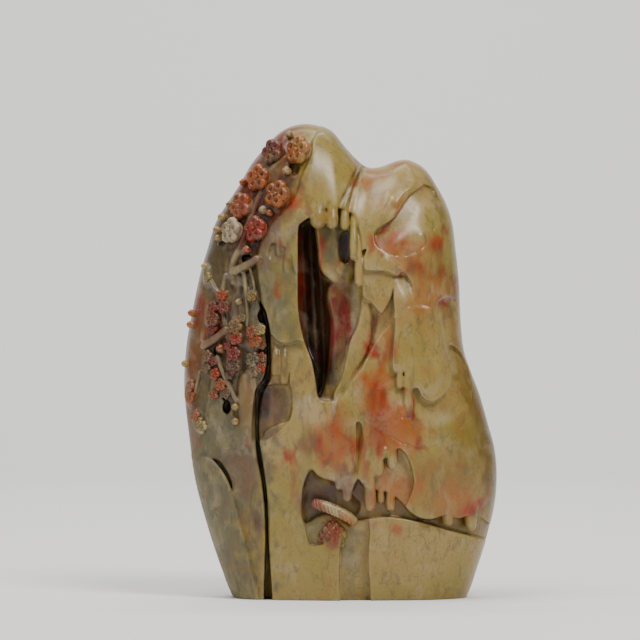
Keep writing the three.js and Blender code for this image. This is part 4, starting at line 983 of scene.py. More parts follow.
def put_attribute(mesh, name, values):
    """Stores one value or one colour for each vertex."""
    values = np.asarray(values, np.float32)
    if values.ndim == 2:
        layer = mesh.attributes.new(name, "FLOAT_COLOR", "POINT")
        layer.data.foreach_set("color", np.column_stack([values, np.ones(len(values))]).ravel())
    else:
        layer = mesh.attributes.new(name, "FLOAT", "POINT")
        layer.data.foreach_set("value", values)


def vertex_places(mesh):
    places = np.empty(len(mesh.vertices) * 3, np.float32)
    mesh.vertices.foreach_get("co", places)
    return places.reshape(-1, 3).astype(float)


def vertex_normals(mesh):
    normals = np.empty(len(mesh.vertices) * 3, np.float32)
    mesh.vertex_normals.foreach_get("vector", normals)
    return normals.reshape(-1, 3).astype(float)


def seated(points):
    """Carver's millimetres to the frame's metres."""
    return (np.asarray(points) + (SEAT[0], SEAT[1], 0)) * MM


def carved(points):
    """The frame's metres to carver's millimetres."""
    return np.asarray(points) / MM - (SEAT[0], SEAT[1], 0)


def mesh_object(name, vertices, faces):
    mesh = bpy.data.meshes.new(name)
    mesh.vertices.add(len(vertices))
    mesh.vertices.foreach_set("co", np.asarray(vertices, np.float32).ravel())
    faces = np.asarray(faces, np.int32)
    mesh.loops.add(faces.size)
    mesh.loops.foreach_set("vertex_index", faces.ravel())
    mesh.polygons.add(len(faces))
    mesh.polygons.foreach_set("loop_start", np.arange(len(faces), dtype=np.int32) * faces.shape[1])
    mesh.update(calc_edges=True)
    made = bpy.data.objects.new(name, mesh)
    bpy.context.scene.collection.objects.link(made)
    return made


def settle(made):
    """The piece's modifiers become its plain mesh."""
    evaluated = made.evaluated_get(bpy.context.evaluated_depsgraph_get())
    mesh = bpy.data.meshes.new_from_object(evaluated)
    made.modifiers.clear()
    old = made.data
    made.data = mesh
    bpy.data.meshes.remove(old)
    return mesh


def finish_piece(made, material, replaces=None):
    mesh = made.data
    mesh.materials.clear()
    mesh.materials.append(material)
    mesh.polygons.foreach_set("use_smooth", np.ones(len(mesh.polygons), bool))
    mesh.update()
    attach(made, BODY)
    if replaces:
        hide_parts(replaces)


# Shader helpers.
class Nodes:
    """A node tree and the few steps that build it."""

    def __init__(self, tree):
        self.tree = tree
        tree.nodes.clear()

    def add(self, kind, inputs=None, **settings):
        node = self.tree.nodes.new(kind)
        for name, value in settings.items():
            setattr(node, name, value)
        for key, value in (inputs or {}).items():
            if isinstance(value, bpy.types.NodeSocket):
                self.tree.links.new(value, node.inputs[key])
            else:
                node.inputs[key].default_value = value
        return node

    def math(self, operation, first, second=0.0, clamp=False):
        return self.add("ShaderNodeMath", {0: first, 1: second}, operation=operation, use_clamp=clamp).outputs[0]

    def mix(self, share, first, second, blend="MIX"):
        node = self.add("ShaderNodeMix", data_type="RGBA", blend_type=blend)
        for socket, value in ((node.inputs[0], share), (node.inputs[6], first), (node.inputs[7], second)):
            if isinstance(value, bpy.types.NodeSocket):
                self.tree.links.new(value, socket)
            else:
                socket.default_value = value
        return node.outputs[2]

    def ramp(self, value, low, high):
        node = self.add("ShaderNodeMapRange", {0: value, 1: low, 2: high, 3: 0.0, 4: 1.0})
        node.interpolation_type = "SMOOTHSTEP"
        return node.outputs[0]

    def noise(self, place, scale, detail=3.0, rough=0.5, distort=0.0):
        inputs = {"Vector": place, "Scale": scale, "Detail": detail, "Roughness": rough, "Distortion": distort}
        return self.add("ShaderNodeTexNoise", inputs).outputs[0]


def shade(colour, alpha=1.0):
    return (*[float(v) for v in as_light(colour)], alpha)


def stone_tint(name):
    return (*[float(v) for v in stone_light(name)], 1)


def soapstone_material(looks):
    """Wax-polished soapstone: stained colour with painted light, cloudy mottling, thin veins, painted shade in the
    corners, a painted highlight on open edges.
    """
    material = bpy.data.materials.new("soapstone_polished")
    material.use_nodes = True
    nodes = Nodes(material.node_tree)
    place = nodes.add("ShaderNodeTexCoord").outputs["Object"]
    stains_and_painted_light = nodes.add("ShaderNodeAttribute", attribute_name="stone_colour").outputs["Color"]
    tight = nodes.add("ShaderNodeAttribute", attribute_name="tightness").outputs["Fac"]
    matte = nodes.add("ShaderNodeAttribute", attribute_name="matte").outputs["Fac"]
    stretched = nodes.add("ShaderNodeMapping", {"Vector": place, "Scale": (1.0, 1.0, 0.38)}).outputs[0]
    clouds = nodes.noise(place, 55.0, 4.0, 0.6, 0.6)
    specks = nodes.noise(place, 420.0, 3.0, 0.6)
    fibres = nodes.noise(stretched, 260.0, 4.0, 0.65, 0.8)
    light = nodes.mix(nodes.ramp(clouds, 0.5, 0.72), stains_and_painted_light, nodes.mix(0.3, stains_and_painted_light, stone_tint("chalk")))
    warm = nodes.mix(nodes.ramp(clouds, 0.5, 0.28), light, nodes.mix(0.22, light, stone_tint("salmon")))
    grain = nodes.mix(nodes.math("MULTIPLY", nodes.ramp(specks, 0.52, 0.7), 0.16), warm, stone_tint("brown"))
    streaked = nodes.mix(nodes.math("MULTIPLY", nodes.ramp(fibres, 0.5, 0.68), nodes.math("MULTIPLY_ADD", matte, 0.5)),
                         grain, stone_tint("ash"))
    line = nodes.math("ABSOLUTE", nodes.math("SUBTRACT", nodes.noise(place, 26.0, 5.0, 0.62, 1.4), 0.5))
    patches = nodes.ramp(nodes.noise(place, 14.0, 2.0, 0.5), 0.52, 0.62)
    vein = nodes.math("MULTIPLY", nodes.ramp(line, 0.012, 0.0), nodes.math("MULTIPLY", patches, 0.3))
    veined = nodes.mix(vein, streaked, stone_tint("rust"))
    # Painted shade: where the tightness runs high, in hollows, creases and corners, the colour darkens towards
    # near-black.
    hollow_shade = nodes.math("MULTIPLY", nodes.ramp(tight, 0.44, 0.8), 0.75)
    hollow_shaded = nodes.mix(hollow_shade, veined, nodes.mix(0.8, veined, stone_tint("dark")))
    # Painted highlight: open, outstanding edges, where the tightness is low, are lightened towards chalk.
    swells_and_edge_highlight = nodes.mix(nodes.math("MULTIPLY", nodes.ramp(tight, 0.2, 0.06), 0.22), hollow_shaded, stone_tint("chalk"))
    gloss = nodes.math("MULTIPLY_ADD", matte, 0.26)
    nodes.tree.nodes[-1].inputs[2].default_value = looks.polish
    rough = nodes.math("ADD", gloss, nodes.math("MULTIPLY", nodes.math("SUBTRACT", specks, 0.5), 0.16), True)
    relief = nodes.math("ADD", nodes.math("MULTIPLY", fibres, nodes.math("MULTIPLY_ADD", matte, 0.8)),
                        nodes.math("MULTIPLY", clouds, 0.3))
    bump = nodes.add("ShaderNodeBump", {"Strength": 0.35, "Distance": 0.0006, "Height": relief}).outputs[0]
    shader = nodes.add("ShaderNodeBsdfPrincipled", {
        "Base Color": swells_and_edge_highlight, "Roughness": rough, "Normal": bump, "IOR": 1.45,
        "Subsurface Weight": looks.glow, "Subsurface Radius": (1.0, 0.6, 0.35), "Subsurface Scale": 0.004,
    })
    output = nodes.add("ShaderNodeOutputMaterial")
    nodes.tree.links.new(shader.outputs[0], output.inputs[0])
    return material


def field_tree(name, sockets):
    """An empty geometry tree with its named inputs: name, kind, and the value it starts from."""
    tree = bpy.data.node_groups.new(name, "GeometryNodeTree")
    tree.interface.new_socket("Geometry", in_out="INPUT", socket_type="NodeSocketGeometry")
    for label, kind, value in sockets:
        socket = tree.interface.new_socket(label, in_out="INPUT", socket_type=kind)
        if value is not None:
            socket.default_value = value
    tree.interface.new_socket("Geometry", in_out="OUTPUT", socket_type="NodeSocketGeometry")
    return tree


def spread_on_points(nodes, points, shape, jitter, material):
    """Stands the shape on every point, makes it real, roughens it, gives it the stone."""
    facing = nodes.add("GeometryNodeInputNamedAttribute", {"Name": "facing"}, data_type="FLOAT_VECTOR").outputs[0]
    size = nodes.add("GeometryNodeInputNamedAttribute", {"Name": "size"}, data_type="FLOAT").outputs[0]
    turned = nodes.add("FunctionNodeEulerToRotation", {0: facing}).outputs[0]
    stood = nodes.add("GeometryNodeInstanceOnPoints", {
        "Points": points, "Instance": shape, "Rotation": turned, "Scale": size}).outputs[0]
    real = nodes.add("GeometryNodeRealizeInstances", {0: stood}).outputs[0]
    place = nodes.add("GeometryNodeInputPosition").outputs[0]
    noise = nodes.add("ShaderNodeTexNoise", {"Vector": place, "Scale": 520.0, "Detail": 1.0}).outputs[1]
    centred = nodes.add("ShaderNodeVectorMath", {0: noise, 1: (0.5, 0.5, 0.5)}, operation="SUBTRACT").outputs[0]
    moved = nodes.add("ShaderNodeVectorMath", {0: centred, "Scale": jitter}, operation="SCALE").outputs[0]
    rough = nodes.add("GeometryNodeSetPosition", {"Geometry": real, "Offset": moved}).outputs[0]
    named = nodes.add("GeometryNodeSetMaterial", {"Geometry": rough, "Material": material}).outputs[0]
    nodes.add("NodeGroupOutput", {0: named})


def store(nodes, geometry, name, value):
    return nodes.add("GeometryNodeStoreNamedAttribute", {
        "Geometry": geometry, "Name": name, "Value": value}, data_type="FLOAT", domain="POINT").outputs[0]


def blossom_tree():
    """A flower of fat dimpled petals round a knob, on a thick round back."""
    tree = field_tree("Blossoms", [
        ("Petals", "NodeSocketInt", 5), ("Roundness", "NodeSocketInt", 20), ("Petal reach", "NodeSocketFloat", 0.53),
        ("Petal radius", "NodeSocketFloat", 0.48), ("Petal height", "NodeSocketFloat", 0.36),
        ("Dimple", "NodeSocketFloat", 0.3), ("Knob radius", "NodeSocketFloat", 0.17),
        ("Knob shade", "NodeSocketFloat", 0.35), ("Back depth", "NodeSocketFloat", 0.55),
        ("Jitter", "NodeSocketFloat", 0.0009), ("Material", "NodeSocketMaterial", None)])
    nodes = Nodes(tree)
    given = nodes.add("NodeGroupInput").outputs
    rings = nodes.math("MULTIPLY", given["Roundness"], 0.6)
    ball = nodes.add("GeometryNodeMeshUVSphere", {"Segments": given["Roundness"], "Rings": rings, "Radius": 1.0})
    place = nodes.add("GeometryNodeInputPosition").outputs[0]
    parts = nodes.add("ShaderNodeSeparateXYZ", {0: place}).outputs
    flat = nodes.math("SQRT", nodes.math("ADD", nodes.math("POWER", parts[0], 2.0), nodes.math("POWER", parts[1], 2.0)))
    top = nodes.ramp(parts[2], 0.0, 0.5)
    dent = nodes.math("MULTIPLY", nodes.ramp(flat, 0.42, 0.12), top)
    sink = nodes.math("MULTIPLY", nodes.math("MULTIPLY", dent, given["Dimple"]), -3.2)
    offset = nodes.add("ShaderNodeCombineXYZ", {2: sink}).outputs[0]
    dented = nodes.add("GeometryNodeSetPosition", {"Geometry": ball.outputs[0], "Offset": offset}).outputs[0]
    # Painted shade: the dimples get a higher tightness, so the stone's material darkens them.
    petal = store(nodes, dented, "tightness", nodes.math("ADD", nodes.math("MULTIPLY", dent, 0.5), 0.25))
    scale = nodes.add("ShaderNodeCombineXYZ", {
        0: given["Petal radius"], 1: given["Petal radius"], 2: given["Petal height"]}).outputs[0]
    reach = nodes.add("ShaderNodeCombineXYZ", {0: given["Petal reach"]}).outputs[0]
    placed = nodes.add("GeometryNodeTransform", {"Geometry": petal, "Translation": reach, "Scale": scale}).outputs[0]
    ring = nodes.add("GeometryNodeMeshLine", {"Count": given["Petals"], "Offset": (0.0, 0.0, 0.0)}).outputs[0]
    index = nodes.add("GeometryNodeInputIndex").outputs[0]
    step = nodes.math("DIVIDE", 2 * math.pi, given["Petals"])
    angle = nodes.add("ShaderNodeCombineXYZ", {2: nodes.math("MULTIPLY", index, step)}).outputs[0]
    turn = nodes.add("FunctionNodeEulerToRotation", {0: angle}).outputs[0]
    petals = nodes.add("GeometryNodeInstanceOnPoints", {
        "Points": ring, "Instance": placed, "Rotation": turn}).outputs[0]
    small = nodes.math("MULTIPLY", given["Roundness"], 0.5)
    knob = nodes.add("GeometryNodeMeshUVSphere", {"Segments": small, "Rings": small, "Radius": given["Knob radius"]})
    shaded = store(nodes, knob.outputs[0], "tightness", given["Knob shade"])
    lifted = nodes.add("GeometryNodeTransform", {"Geometry": shaded, "Translation": (0.0, 0.0, 0.2)}).outputs[0]
    back = nodes.add("GeometryNodeMeshUVSphere", {"Segments": given["Roundness"], "Rings": rings, "Radius": 1.0})
    depth = nodes.add("ShaderNodeCombineXYZ", {0: 0.78, 1: 0.78, 2: given["Back depth"]}).outputs[0]
    # Painted shade: the back's top, tucked under the petals, gets a high tightness and is darkened.
    dark = store(nodes, back.outputs[0], "tightness", nodes.math("MULTIPLY", nodes.ramp(parts[2], -0.2, 0.6), 0.75))
    under = nodes.add("GeometryNodeTransform", {
        "Geometry": dark, "Scale": depth, "Translation": (0.0, 0.0, -0.34)}).outputs[0]
    flower = nodes.add("GeometryNodeJoinGeometry")
    for part in (petals, lifted, under):
        tree.links.new(part, flower.inputs[0])
    spread_on_points(nodes, given["Geometry"], flower.outputs[0], given["Jitter"], given["Material"])
    return tree


def bud_tree():
    """A closed bud in a small cup."""
    tree = field_tree("Buds", [
        ("Roundness", "NodeSocketInt", 14), ("Cup size", "NodeSocketFloat", 0.78),
        ("Jitter", "NodeSocketFloat", 0.0007), ("Material", "NodeSocketMaterial", None)])
    nodes = Nodes(tree)
    given = nodes.add("NodeGroupInput").outputs
    ball = nodes.add("GeometryNodeMeshUVSphere", {
        "Segments": given["Roundness"], "Rings": given["Roundness"], "Radius": 1.0}).outputs[0]
    place = nodes.add("GeometryNodeInputPosition").outputs[0]
    parts = nodes.add("ShaderNodeSeparateXYZ", {0: place}).outputs
    swirl = nodes.math("SINE", nodes.math("ADD", nodes.math("MULTIPLY", nodes.math("ARCTAN2", parts[1], parts[0]), 3.0),
                                          nodes.math("MULTIPLY", parts[2], 2.4)))
    groove = nodes.math("MULTIPLY", nodes.ramp(swirl, 0.1, 0.95), nodes.ramp(parts[2], -0.5, 0.2))
    # Painted shade: the spiral grooves get a high tightness and are darkened.
    bud = store(nodes, ball, "tightness", nodes.math("MULTIPLY", groove, 0.62))
    cut = nodes.math("MULTIPLY", groove, -0.09)
    inward = nodes.add("ShaderNodeVectorMath", {0: place, "Scale": cut}, operation="SCALE").outputs[0]
    grooved = nodes.add("GeometryNodeSetPosition", {"Geometry": bud, "Offset": inward}).outputs[0]
    long = nodes.add("GeometryNodeTransform", {
        "Geometry": grooved, "Scale": (0.86, 0.86, 1.05), "Translation": (0.0, 0.0, 0.3)}).outputs[0]
    # Painted shade: the cup's top, under the bud, gets a high tightness and is darkened.
    cup = store(nodes, ball, "tightness", nodes.math("MULTIPLY", nodes.ramp(parts[2], 0.0, 0.5), 0.8))
    size = nodes.add("ShaderNodeCombineXYZ", {0: given["Cup size"], 1: given["Cup size"], 2: 0.6}).outputs[0]
    under = nodes.add("GeometryNodeTransform", {
        "Geometry": cup, "Scale": size, "Translation": (0.0, 0.0, -0.45)}).outputs[0]
    whole = nodes.add("GeometryNodeJoinGeometry")
    for part in (long, under):
        tree.links.new(part, whole.inputs[0])
    spread_on_points(nodes, given["Geometry"], whole.outputs[0], given["Jitter"], given["Material"])
    return tree


def rib_tree():
    """Rounded rings that wrap the bough over the pine."""
    tree = field_tree("Ribs", [
        ("Roundness", "NodeSocketInt", 26), ("Ring radius", "NodeSocketFloat", 1.0),
        ("Bead radius", "NodeSocketFloat", 0.2), ("Jitter", "NodeSocketFloat", 0.0003),
        ("Material", "NodeSocketMaterial", None)])
    nodes = Nodes(tree)
    given = nodes.add("NodeGroupInput").outputs
    ring = nodes.add("GeometryNodeCurvePrimitiveCircle", {
        "Resolution": given["Roundness"], "Radius": given["Ring radius"]}).outputs[0]
    bead = nodes.add("GeometryNodeCurvePrimitiveCircle", {"Resolution": 8, "Radius": given["Bead radius"]}).outputs[0]
    torus = nodes.add("GeometryNodeCurveToMesh", {"Curve": ring, "Profile Curve": bead}).outputs[0]
    place = nodes.add("GeometryNodeInputPosition").outputs[0]
    parts = nodes.add("ShaderNodeSeparateXYZ", {0: place}).outputs
    flat = nodes.math("SQRT", nodes.math("ADD", nodes.math("POWER", parts[0], 2.0), nodes.math("POWER", parts[1], 2.0)))
    # Painted shade: the inner side of each ring, where it wraps the bough, gets a high tightness and is darkened.
    shaded = store(nodes, torus, "tightness", nodes.ramp(flat, 1.1, 0.95))
    spread_on_points(nodes, given["Geometry"], shaded, given["Jitter"], given["Material"])
    return tree


def stand_on_skin(rows):
    """The place, turn and size of each flower in the frame."""
    places, facings, sizes = [], [], []
    for x, z, radius, lift, turn, colour, aside in rows:
        angle, rise = math.radians(aside), math.radians(12)
        way = Vector((-math.sin(angle) * math.cos(rise), -math.cos(angle) * math.cos(rise), math.sin(rise)))
        quaternion = way.to_track_quat("Z", "Y") @ Quaternion((0, 0, 1), math.radians(turn))
        places.append(seated((x, float(skin_at(x, z)) - lift, z)))
        facings.append(tuple(quaternion.to_euler()))
        sizes.append(radius * MM)
    return np.array(places), np.array(facings), np.array(sizes)


def grow(name, tree, settings, stand, material, colours):
    """Runs a tree over its points and keeps the result as one plain, painted piece."""
    places, facings, sizes = stand
    made = mesh_object(name, places, np.empty((0, 3), np.int32))
    mesh = made.data
    turned = mesh.attributes.new("facing", "FLOAT_VECTOR", "POINT")
    turned.data.foreach_set("vector", np.asarray(facings, np.float32).ravel())
    for label, values in (("size", sizes), ("bloom", np.arange(len(sizes)))):
        mesh.attributes.new(label, "FLOAT", "POINT").data.foreach_set("value", np.asarray(values, np.float32))
    modifier = made.modifiers.new(name, "NODES")
    modifier.node_group = tree
    inputs = {item.name: item.identifier for item in tree.interface.items_tree if item.in_out == "INPUT"}
    modifier[inputs["Material"]] = material
    for label, value in settings.items():
        modifier[inputs[label]] = value
    mesh = settle(made)
    bloom = np.empty(len(mesh.vertices), np.float32)
    mesh.attributes["bloom"].data.foreach_get("value", bloom)
    points = carved(vertex_places(mesh))
    base = stone_colours(points, np.zeros(len(points)))
    own = np.array([stone_light(colour) for colour in colours])[np.round(bloom).astype(int)]
    blotch = smooth_step(cloud(points, (3, 3, 3), 71, 2), -0.7, 0.5)[:, None]
    colour = base + (own - base) * (0.35 + 0.5 * blotch)
    put_attribute(mesh, "stone_colour", colour)
    put_attribute(mesh, "matte", np.zeros(len(points)))
    for label in ("bloom", "facing", "size"):
        mesh.attributes.remove(mesh.attributes[label])
    clip_to_box(mesh)
    finish_piece(made, material)
    return made


def clip_to_box(mesh):
    """Keeps every vertex inside the CAD model's box."""
    low, high = np.array(CAD_BOX[0]) + 2e-5, np.array(CAD_BOX[1]) - 2e-5
    low[2] = CAD_BOX[0][2]
    places = np.clip(vertex_places(mesh), low, high)
    mesh.vertices.foreach_set("co", places.astype(np.float32).ravel())
    mesh.update()


def carve_stone(cell, most_faces, material):
    """The whole carved stone as one closed mesh, painted, in place of the CAD solid."""
    stone = Stone(cell)
    add_swells(stone)
    stone.shape_blank()
    carve_front(stone)
    add_relief(stone)
    stone.lump(*PINE_CROWN, 0.6, pine_net)
    carve_back(stone)
    stone.field = np.maximum(stone.field, -stone.z[None, None, :])
    points, faces = surface_net(stone)
    made = mesh_object("soapstone_mountain", seated(points), faces)
    clip_to_box(made.data)
    triangles = 2 * len(faces)
    if triangles > most_faces:
        thinner = made.modifiers.new("thinner", "DECIMATE")
        thinner.ratio = most_faces / triangles
        thinner.use_collapse_triangulate = True
        settle(made)
    mesh = made.data
    clip_to_box(mesh)
    places = vertex_places(mesh)
    points = carved(places)
    sunk = np.where(points[:, 1] < 0, points[:, 1] - skin_at(points[:, 0], points[:, 2]), 0)
    put_attribute(mesh, "stone_colour", stone_colours(points, sunk))
    # The tightness drives the painted shade in hollows and the painted highlight on open edges.
    put_attribute(mesh, "tightness", tight_places(stone, points, vertex_normals(mesh)))
    put_attribute(mesh, "matte", matte_share(points))
    finish_piece(made, material, replaces=NODE)
    return made


def matte_share(points):
    """Where the stone was left unpolished: the striated rock at the lower left, and the back."""
    left = smooth_step(-points[:, 0], 40, 56) * smooth_step(-points[:, 2], -140, -112)
    back = smooth_step(points[:, 1], -10, 10) * 0.5
    return np.maximum(left * (1 - back), back)


def pine_net(around, up):
    """Grooves that cross in a slanting net."""
    first = np.abs(np.sin(around * 5 + up * 5))
    second = np.abs(np.sin(around * 5 - up * 5))
    return 1.3 * (1 - np.minimum(smooth_step(first, 0, 0.6), smooth_step(second, 0, 0.6)))


def cyclorama(reach, height, curve):
    """A floor that curves up into a wall behind the stone."""
    profile = [(-reach, 0), (reach - curve, 0)]
    for turn in np.linspace(0, math.pi / 2, 17)[1:]:
        profile.append((reach - curve + curve * math.sin(turn), curve - curve * math.cos(turn)))
    profile.append((reach, height))
    vertices, faces = [], []
    for y, z in profile:
        vertices += [(-reach, y, z), (reach, y, z)]
    for row in range(len(profile) - 1):
        faces.append((2 * row, 2 * row + 1, 2 * row + 3, 2 * row + 2))
    made = mesh_object("studio_sweep", vertices, faces)
    material = bpy.data.materials.new("studio_paper")
    material.use_nodes = True
    nodes = Nodes(material.node_tree)
    place = nodes.add("ShaderNodeTexCoord").outputs["Object"]
    grain = nodes.noise(place, 900.0, 2.0, 0.5)
    tint = nodes.mix(nodes.math("MULTIPLY", grain, 0.05), shade((246, 245, 243)), shade((222, 221, 218)))
    shader = nodes.add("ShaderNodeBsdfPrincipled", {"Base Color": tint, "Roughness": 0.9})
    output = nodes.add("ShaderNodeOutputMaterial")
    nodes.tree.links.new(shader.outputs[0], output.inputs[0])
    made.data.materials.append(material)
    made.data.polygons.foreach_set("use_smooth", np.ones(len(made.data.polygons), bool))
    return made


def soft_light(name, place, aim, size, watts, colour):
    """A large soft box that looks at the aim."""
    lamp = bpy.data.lights.new(name, "AREA")
    lamp.shape = "RECTANGLE"
    lamp.size, lamp.size_y = size
    lamp.energy = watts
    lamp.color = colour
    box = bpy.data.objects.new(name, lamp)
    bpy.context.scene.collection.objects.link(box)
    box.location = place
    box.rotation_euler = (Vector(aim) - Vector(place)).to_track_quat("-Z", "Y").to_euler()
    return box


def set_camera(stage):
    """Looks along +Y at the carved face, framed to the photo's scale."""
    aim = Vector((FRAME_CENTRE[0] + SEAT[0], SEAT[1] - FRONT_BULGE * 0.6, FRAME_CENTRE[1])) * MM
    lens = bpy.data.cameras.new("camera")
    lens.sensor_width = 36
    lens.lens = lens.sensor_width * stage.distance / (PHOTO_WIDTH * MM)
    lens.clip_end = 20
    camera = bpy.data.objects.new("camera", lens)
    bpy.context.scene.collection.objects.link(camera)
    tilt = stage.elevation
    camera.location = aim + Vector((0, -math.cos(tilt), math.sin(tilt))) * stage.distance
    camera.rotation_euler = (math.pi / 2 - tilt, 0, 0)
    bpy.context.scene.camera = camera


def set_world(strength):
    world = bpy.data.worlds.new("studio")
    world.use_nodes = True
    nodes = Nodes(world.node_tree)
    light = nodes.add("ShaderNodeBackground", {"Color": shade((250, 250, 252)), "Strength": strength})
    output = nodes.add("ShaderNodeOutputWorld")
    nodes.tree.links.new(light.outputs[0], output.inputs[0])
    bpy.context.scene.world = world


# The add-on's settings, steps and panel.
class CarvingSizes(bpy.types.PropertyGroup):
    """How finely the stone is carved."""

    cell: FloatProperty(
        name="Cell", description="Size of the carving's cells, in millimetres", default=0.75, min=0.5, max=3)
    quick_cell: FloatProperty(
        name="Quick cell", description="Cell size for a quick look, in millimetres", default=1.3, min=0.5, max=4)
    faces: IntProperty(
        name="Triangles", description="Most triangles that the carved stone keeps", default=196000, min=20000)
    petals: IntProperty(name="Petals", description="Petals of each blossom", default=5, min=3, max=8)
    petal_height: FloatProperty(
        name="Petal height", description="Half the thickness of a petal, as a share of the flower's radius",
        default=0.36, min=0.05, max=1)
    ribs: IntProperty(name="Ribs", description="Ribs round the bough over the pine", default=11, min=3, max=40)


class CarvingLooks(bpy.types.PropertyGroup):
    """The stone's surface."""

    polish: FloatProperty(name="Roughness", description="Roughness of the polished stone", default=0.3, min=0, max=1)
    glow: FloatProperty(
        name="Glow", description="Share of the light that passes under the surface", default=0.12, min=0, max=1)


class CarvingStage(bpy.types.PropertyGroup):
    """The studio round the stone."""

    distance: FloatProperty(
        name="Distance", description="From the camera to the stone", default=2.6, min=0.5, unit="LENGTH")
    elevation: FloatProperty(
        name="Elevation", description="The camera's angle over the floor", default=0.0, unit="ROTATION")
    ambient: FloatProperty(name="Ambient", description="Strength of the light from all round", default=0.22, min=0)
    key: FloatProperty(name="Key light", description="Power of the main light", default=24.0, min=0, unit="POWER")
    tint: FloatVectorProperty(
        name="Light tint", description="Colour of the main light", default=(1.0, 0.93, 0.9), subtype="COLOR",
        min=0, max=1)


def stone_finish():
    material = bpy.data.materials.get("soapstone_polished")
    return material or soapstone_material(bpy.context.scene.carving_looks)


class CARVING_OT_stone(bpy.types.Operator):
    """Carve the mountain, its drips, gorge, cave, boughs and pine"""

    bl_idname = "carving.stone"
    bl_label = "Carve the stone"

    def execute(self, context):
        sizes = context.scene.carving_sizes
        cell = sizes.cell
        carve_stone(cell, sizes.faces, stone_finish())
        return {"FINISHED"}


class CARVING_OT_large_blossoms(bpy.types.Operator):
    """Grow the large plum blossoms at the upper left"""

    bl_idname = "carving.large_blossoms"
    bl_label = "Grow the large blossoms"

    def execute(self, context):
        sizes = context.scene.carving_sizes
        settings = {"Petals": sizes.petals, "Petal height": sizes.petal_height, "Roundness": 22}
        grow("large_blossoms", blossom_tree(), settings, stand_on_skin(LARGE_BLOSSOMS), stone_finish(),
             [row[5] for row in LARGE_BLOSSOMS])
        return {"FINISHED"}


class CARVING_OT_small_blossoms(bpy.types.Operator):
    """Grow the clusters of small plum blossoms down the left side"""

    bl_idname = "carving.small_blossoms"
    bl_label = "Grow the small blossoms"

    def execute(self, context):
        sizes = context.scene.carving_sizes
        settings = {
            "Petals": sizes.petals, "Roundness": 14, "Petal radius": 0.46, "Petal height": 0.46, "Dimple": 0.42,
            "Knob radius": 0.2, "Petal reach": 0.56, "Jitter": 0.0008,
        }
        grow("small_blossoms", blossom_tree(), settings, stand_on_skin(SMALL_BLOSSOMS), stone_finish(),
             [row[5] for row in SMALL_BLOSSOMS])
        return {"FINISHED"}


class CARVING_OT_buds(bpy.types.Operator):
    """Set the buds along the boughs"""

    bl_idname = "carving.buds"
    bl_label = "Set the buds"

    def execute(self, context):
        grow("plum_buds", bud_tree(), {}, stand_on_skin(BUDS), stone_finish(), [row[5] for row in BUDS])
        return {"FINISHED"}


class CARVING_OT_ribs(bpy.types.Operator):
    """Wrap the ribs round the bough over the pine"""

    bl_idname = "carving.ribs"
    bl_label = "Wrap the ribs"

    def execute(self, context):
        bough = RIBBED_BOUGH
        way = rounded_line(bough["way"], 8, closed=False)
        depth = skin_at(way[:, 0], way[:, 1]) - bough["sunk"] - bough["radius"] * 0.4
        line = np.column_stack([way[:, 0], depth, way[:, 1]])
        count = context.scene.carving_sizes.ribs
        spots = np.linspace(0.06, 0.94, count) * (len(line) - 1)
        places = np.column_stack([np.interp(spots, np.arange(len(line)), line[:, axis]) for axis in range(3)])
        ways = np.gradient(places, axis=0)
        facings = []
        for way in ways:
            turned = Vector(way).normalized() + Vector((0, -0.25, 0.55))
            facings.append(tuple(turned.to_track_quat("Z", "Y").to_euler()))
        widths = np.interp(np.linspace(0, 1, count), (0, 0.12, 0.88, 1), (0.85, 1, 1, 0.8))
        stand = (seated(places), np.array(facings), widths * bough["radius"] * MM)
        colours = ["orange" if i < 3 else "pink" if i > count - 5 else "pale" for i in range(count)]
        grow("bough_ribs", rib_tree(), {}, stand, stone_finish(), colours)
        return {"FINISHED"}


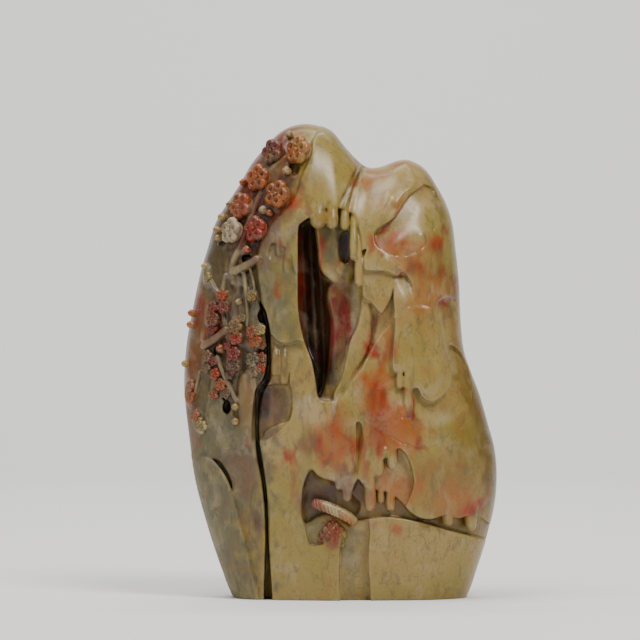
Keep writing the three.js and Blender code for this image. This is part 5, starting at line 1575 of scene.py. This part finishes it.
class CARVING_OT_stage(bpy.types.Operator):
    """Set the floor, the lights and the camera"""

    bl_idname = "carving.stage"
    bl_label = "Set the stage"

    def execute(self, context):
        stage = context.scene.carving_stage
        cyclorama(3, 3, 1)
        aim = (0, 0, 0.15)
        soft_light("key", (0.6, -0.95, 1.5), aim, (0.5, 0.7), stage.key, stage.tint)
        soft_light("fill", (-1.2, -1.3, 0.6), aim, (1.2, 1.2), stage.key * 0.25, (0.95, 0.97, 1))
        soft_light("overhead", (-0.4, -0.3, 1.5), aim, (0.8, 0.6), stage.key * 0.5, (1, 1, 1))
        soft_light("wall wash", (0, 0.9, 2.2), (0, 2.9, 0.4), (2.5, 0.6), stage.key * 2.4, (1, 1, 1))
        set_world(stage.ambient)
        set_camera(stage)
        return {"FINISHED"}


class CARVING_PT_panel(bpy.types.Panel):
    bl_idname = "CARVING_PT_panel"
    bl_label = "Soapstone carving"
    bl_space_type = "VIEW_3D"
    bl_region_type = "UI"
    bl_category = "Carving"

    def draw(self, context):
        layout = self.layout
        for group in ("carving_sizes", "carving_looks", "carving_stage"):
            settings = getattr(context.scene, group)
            for name in settings.__annotations__:
                layout.prop(settings, name)
        for step in STEPS:
            layout.operator(step.bl_idname)


GROUPS = {"carving_sizes": CarvingSizes, "carving_looks": CarvingLooks, "carving_stage": CarvingStage}
STEPS = (
    CARVING_OT_stone, CARVING_OT_large_blossoms, CARVING_OT_small_blossoms, CARVING_OT_buds, CARVING_OT_ribs,
    CARVING_OT_stage,
)


def register():
    for group in GROUPS.values():
        bpy.utils.register_class(group)
    for step in STEPS:
        bpy.utils.register_class(step)
    bpy.utils.register_class(CARVING_PT_panel)
    for name, group in GROUPS.items():
        setattr(bpy.types.Scene, name, PointerProperty(type=group))


def unregister():
    for name in GROUPS:
        delattr(bpy.types.Scene, name)
    bpy.utils.unregister_class(CARVING_PT_panel)
    for step in reversed(STEPS):
        bpy.utils.unregister_class(step)
    for group in reversed(list(GROUPS.values())):
        bpy.utils.unregister_class(group)


def main():
    register()
    bpy.ops.carving.stone()
    bpy.ops.carving.large_blossoms()
    bpy.ops.carving.small_blossoms()
    bpy.ops.carving.buds()
    bpy.ops.carving.ribs()
    bpy.ops.carving.stage()


if __name__ == "__main__":
    main()
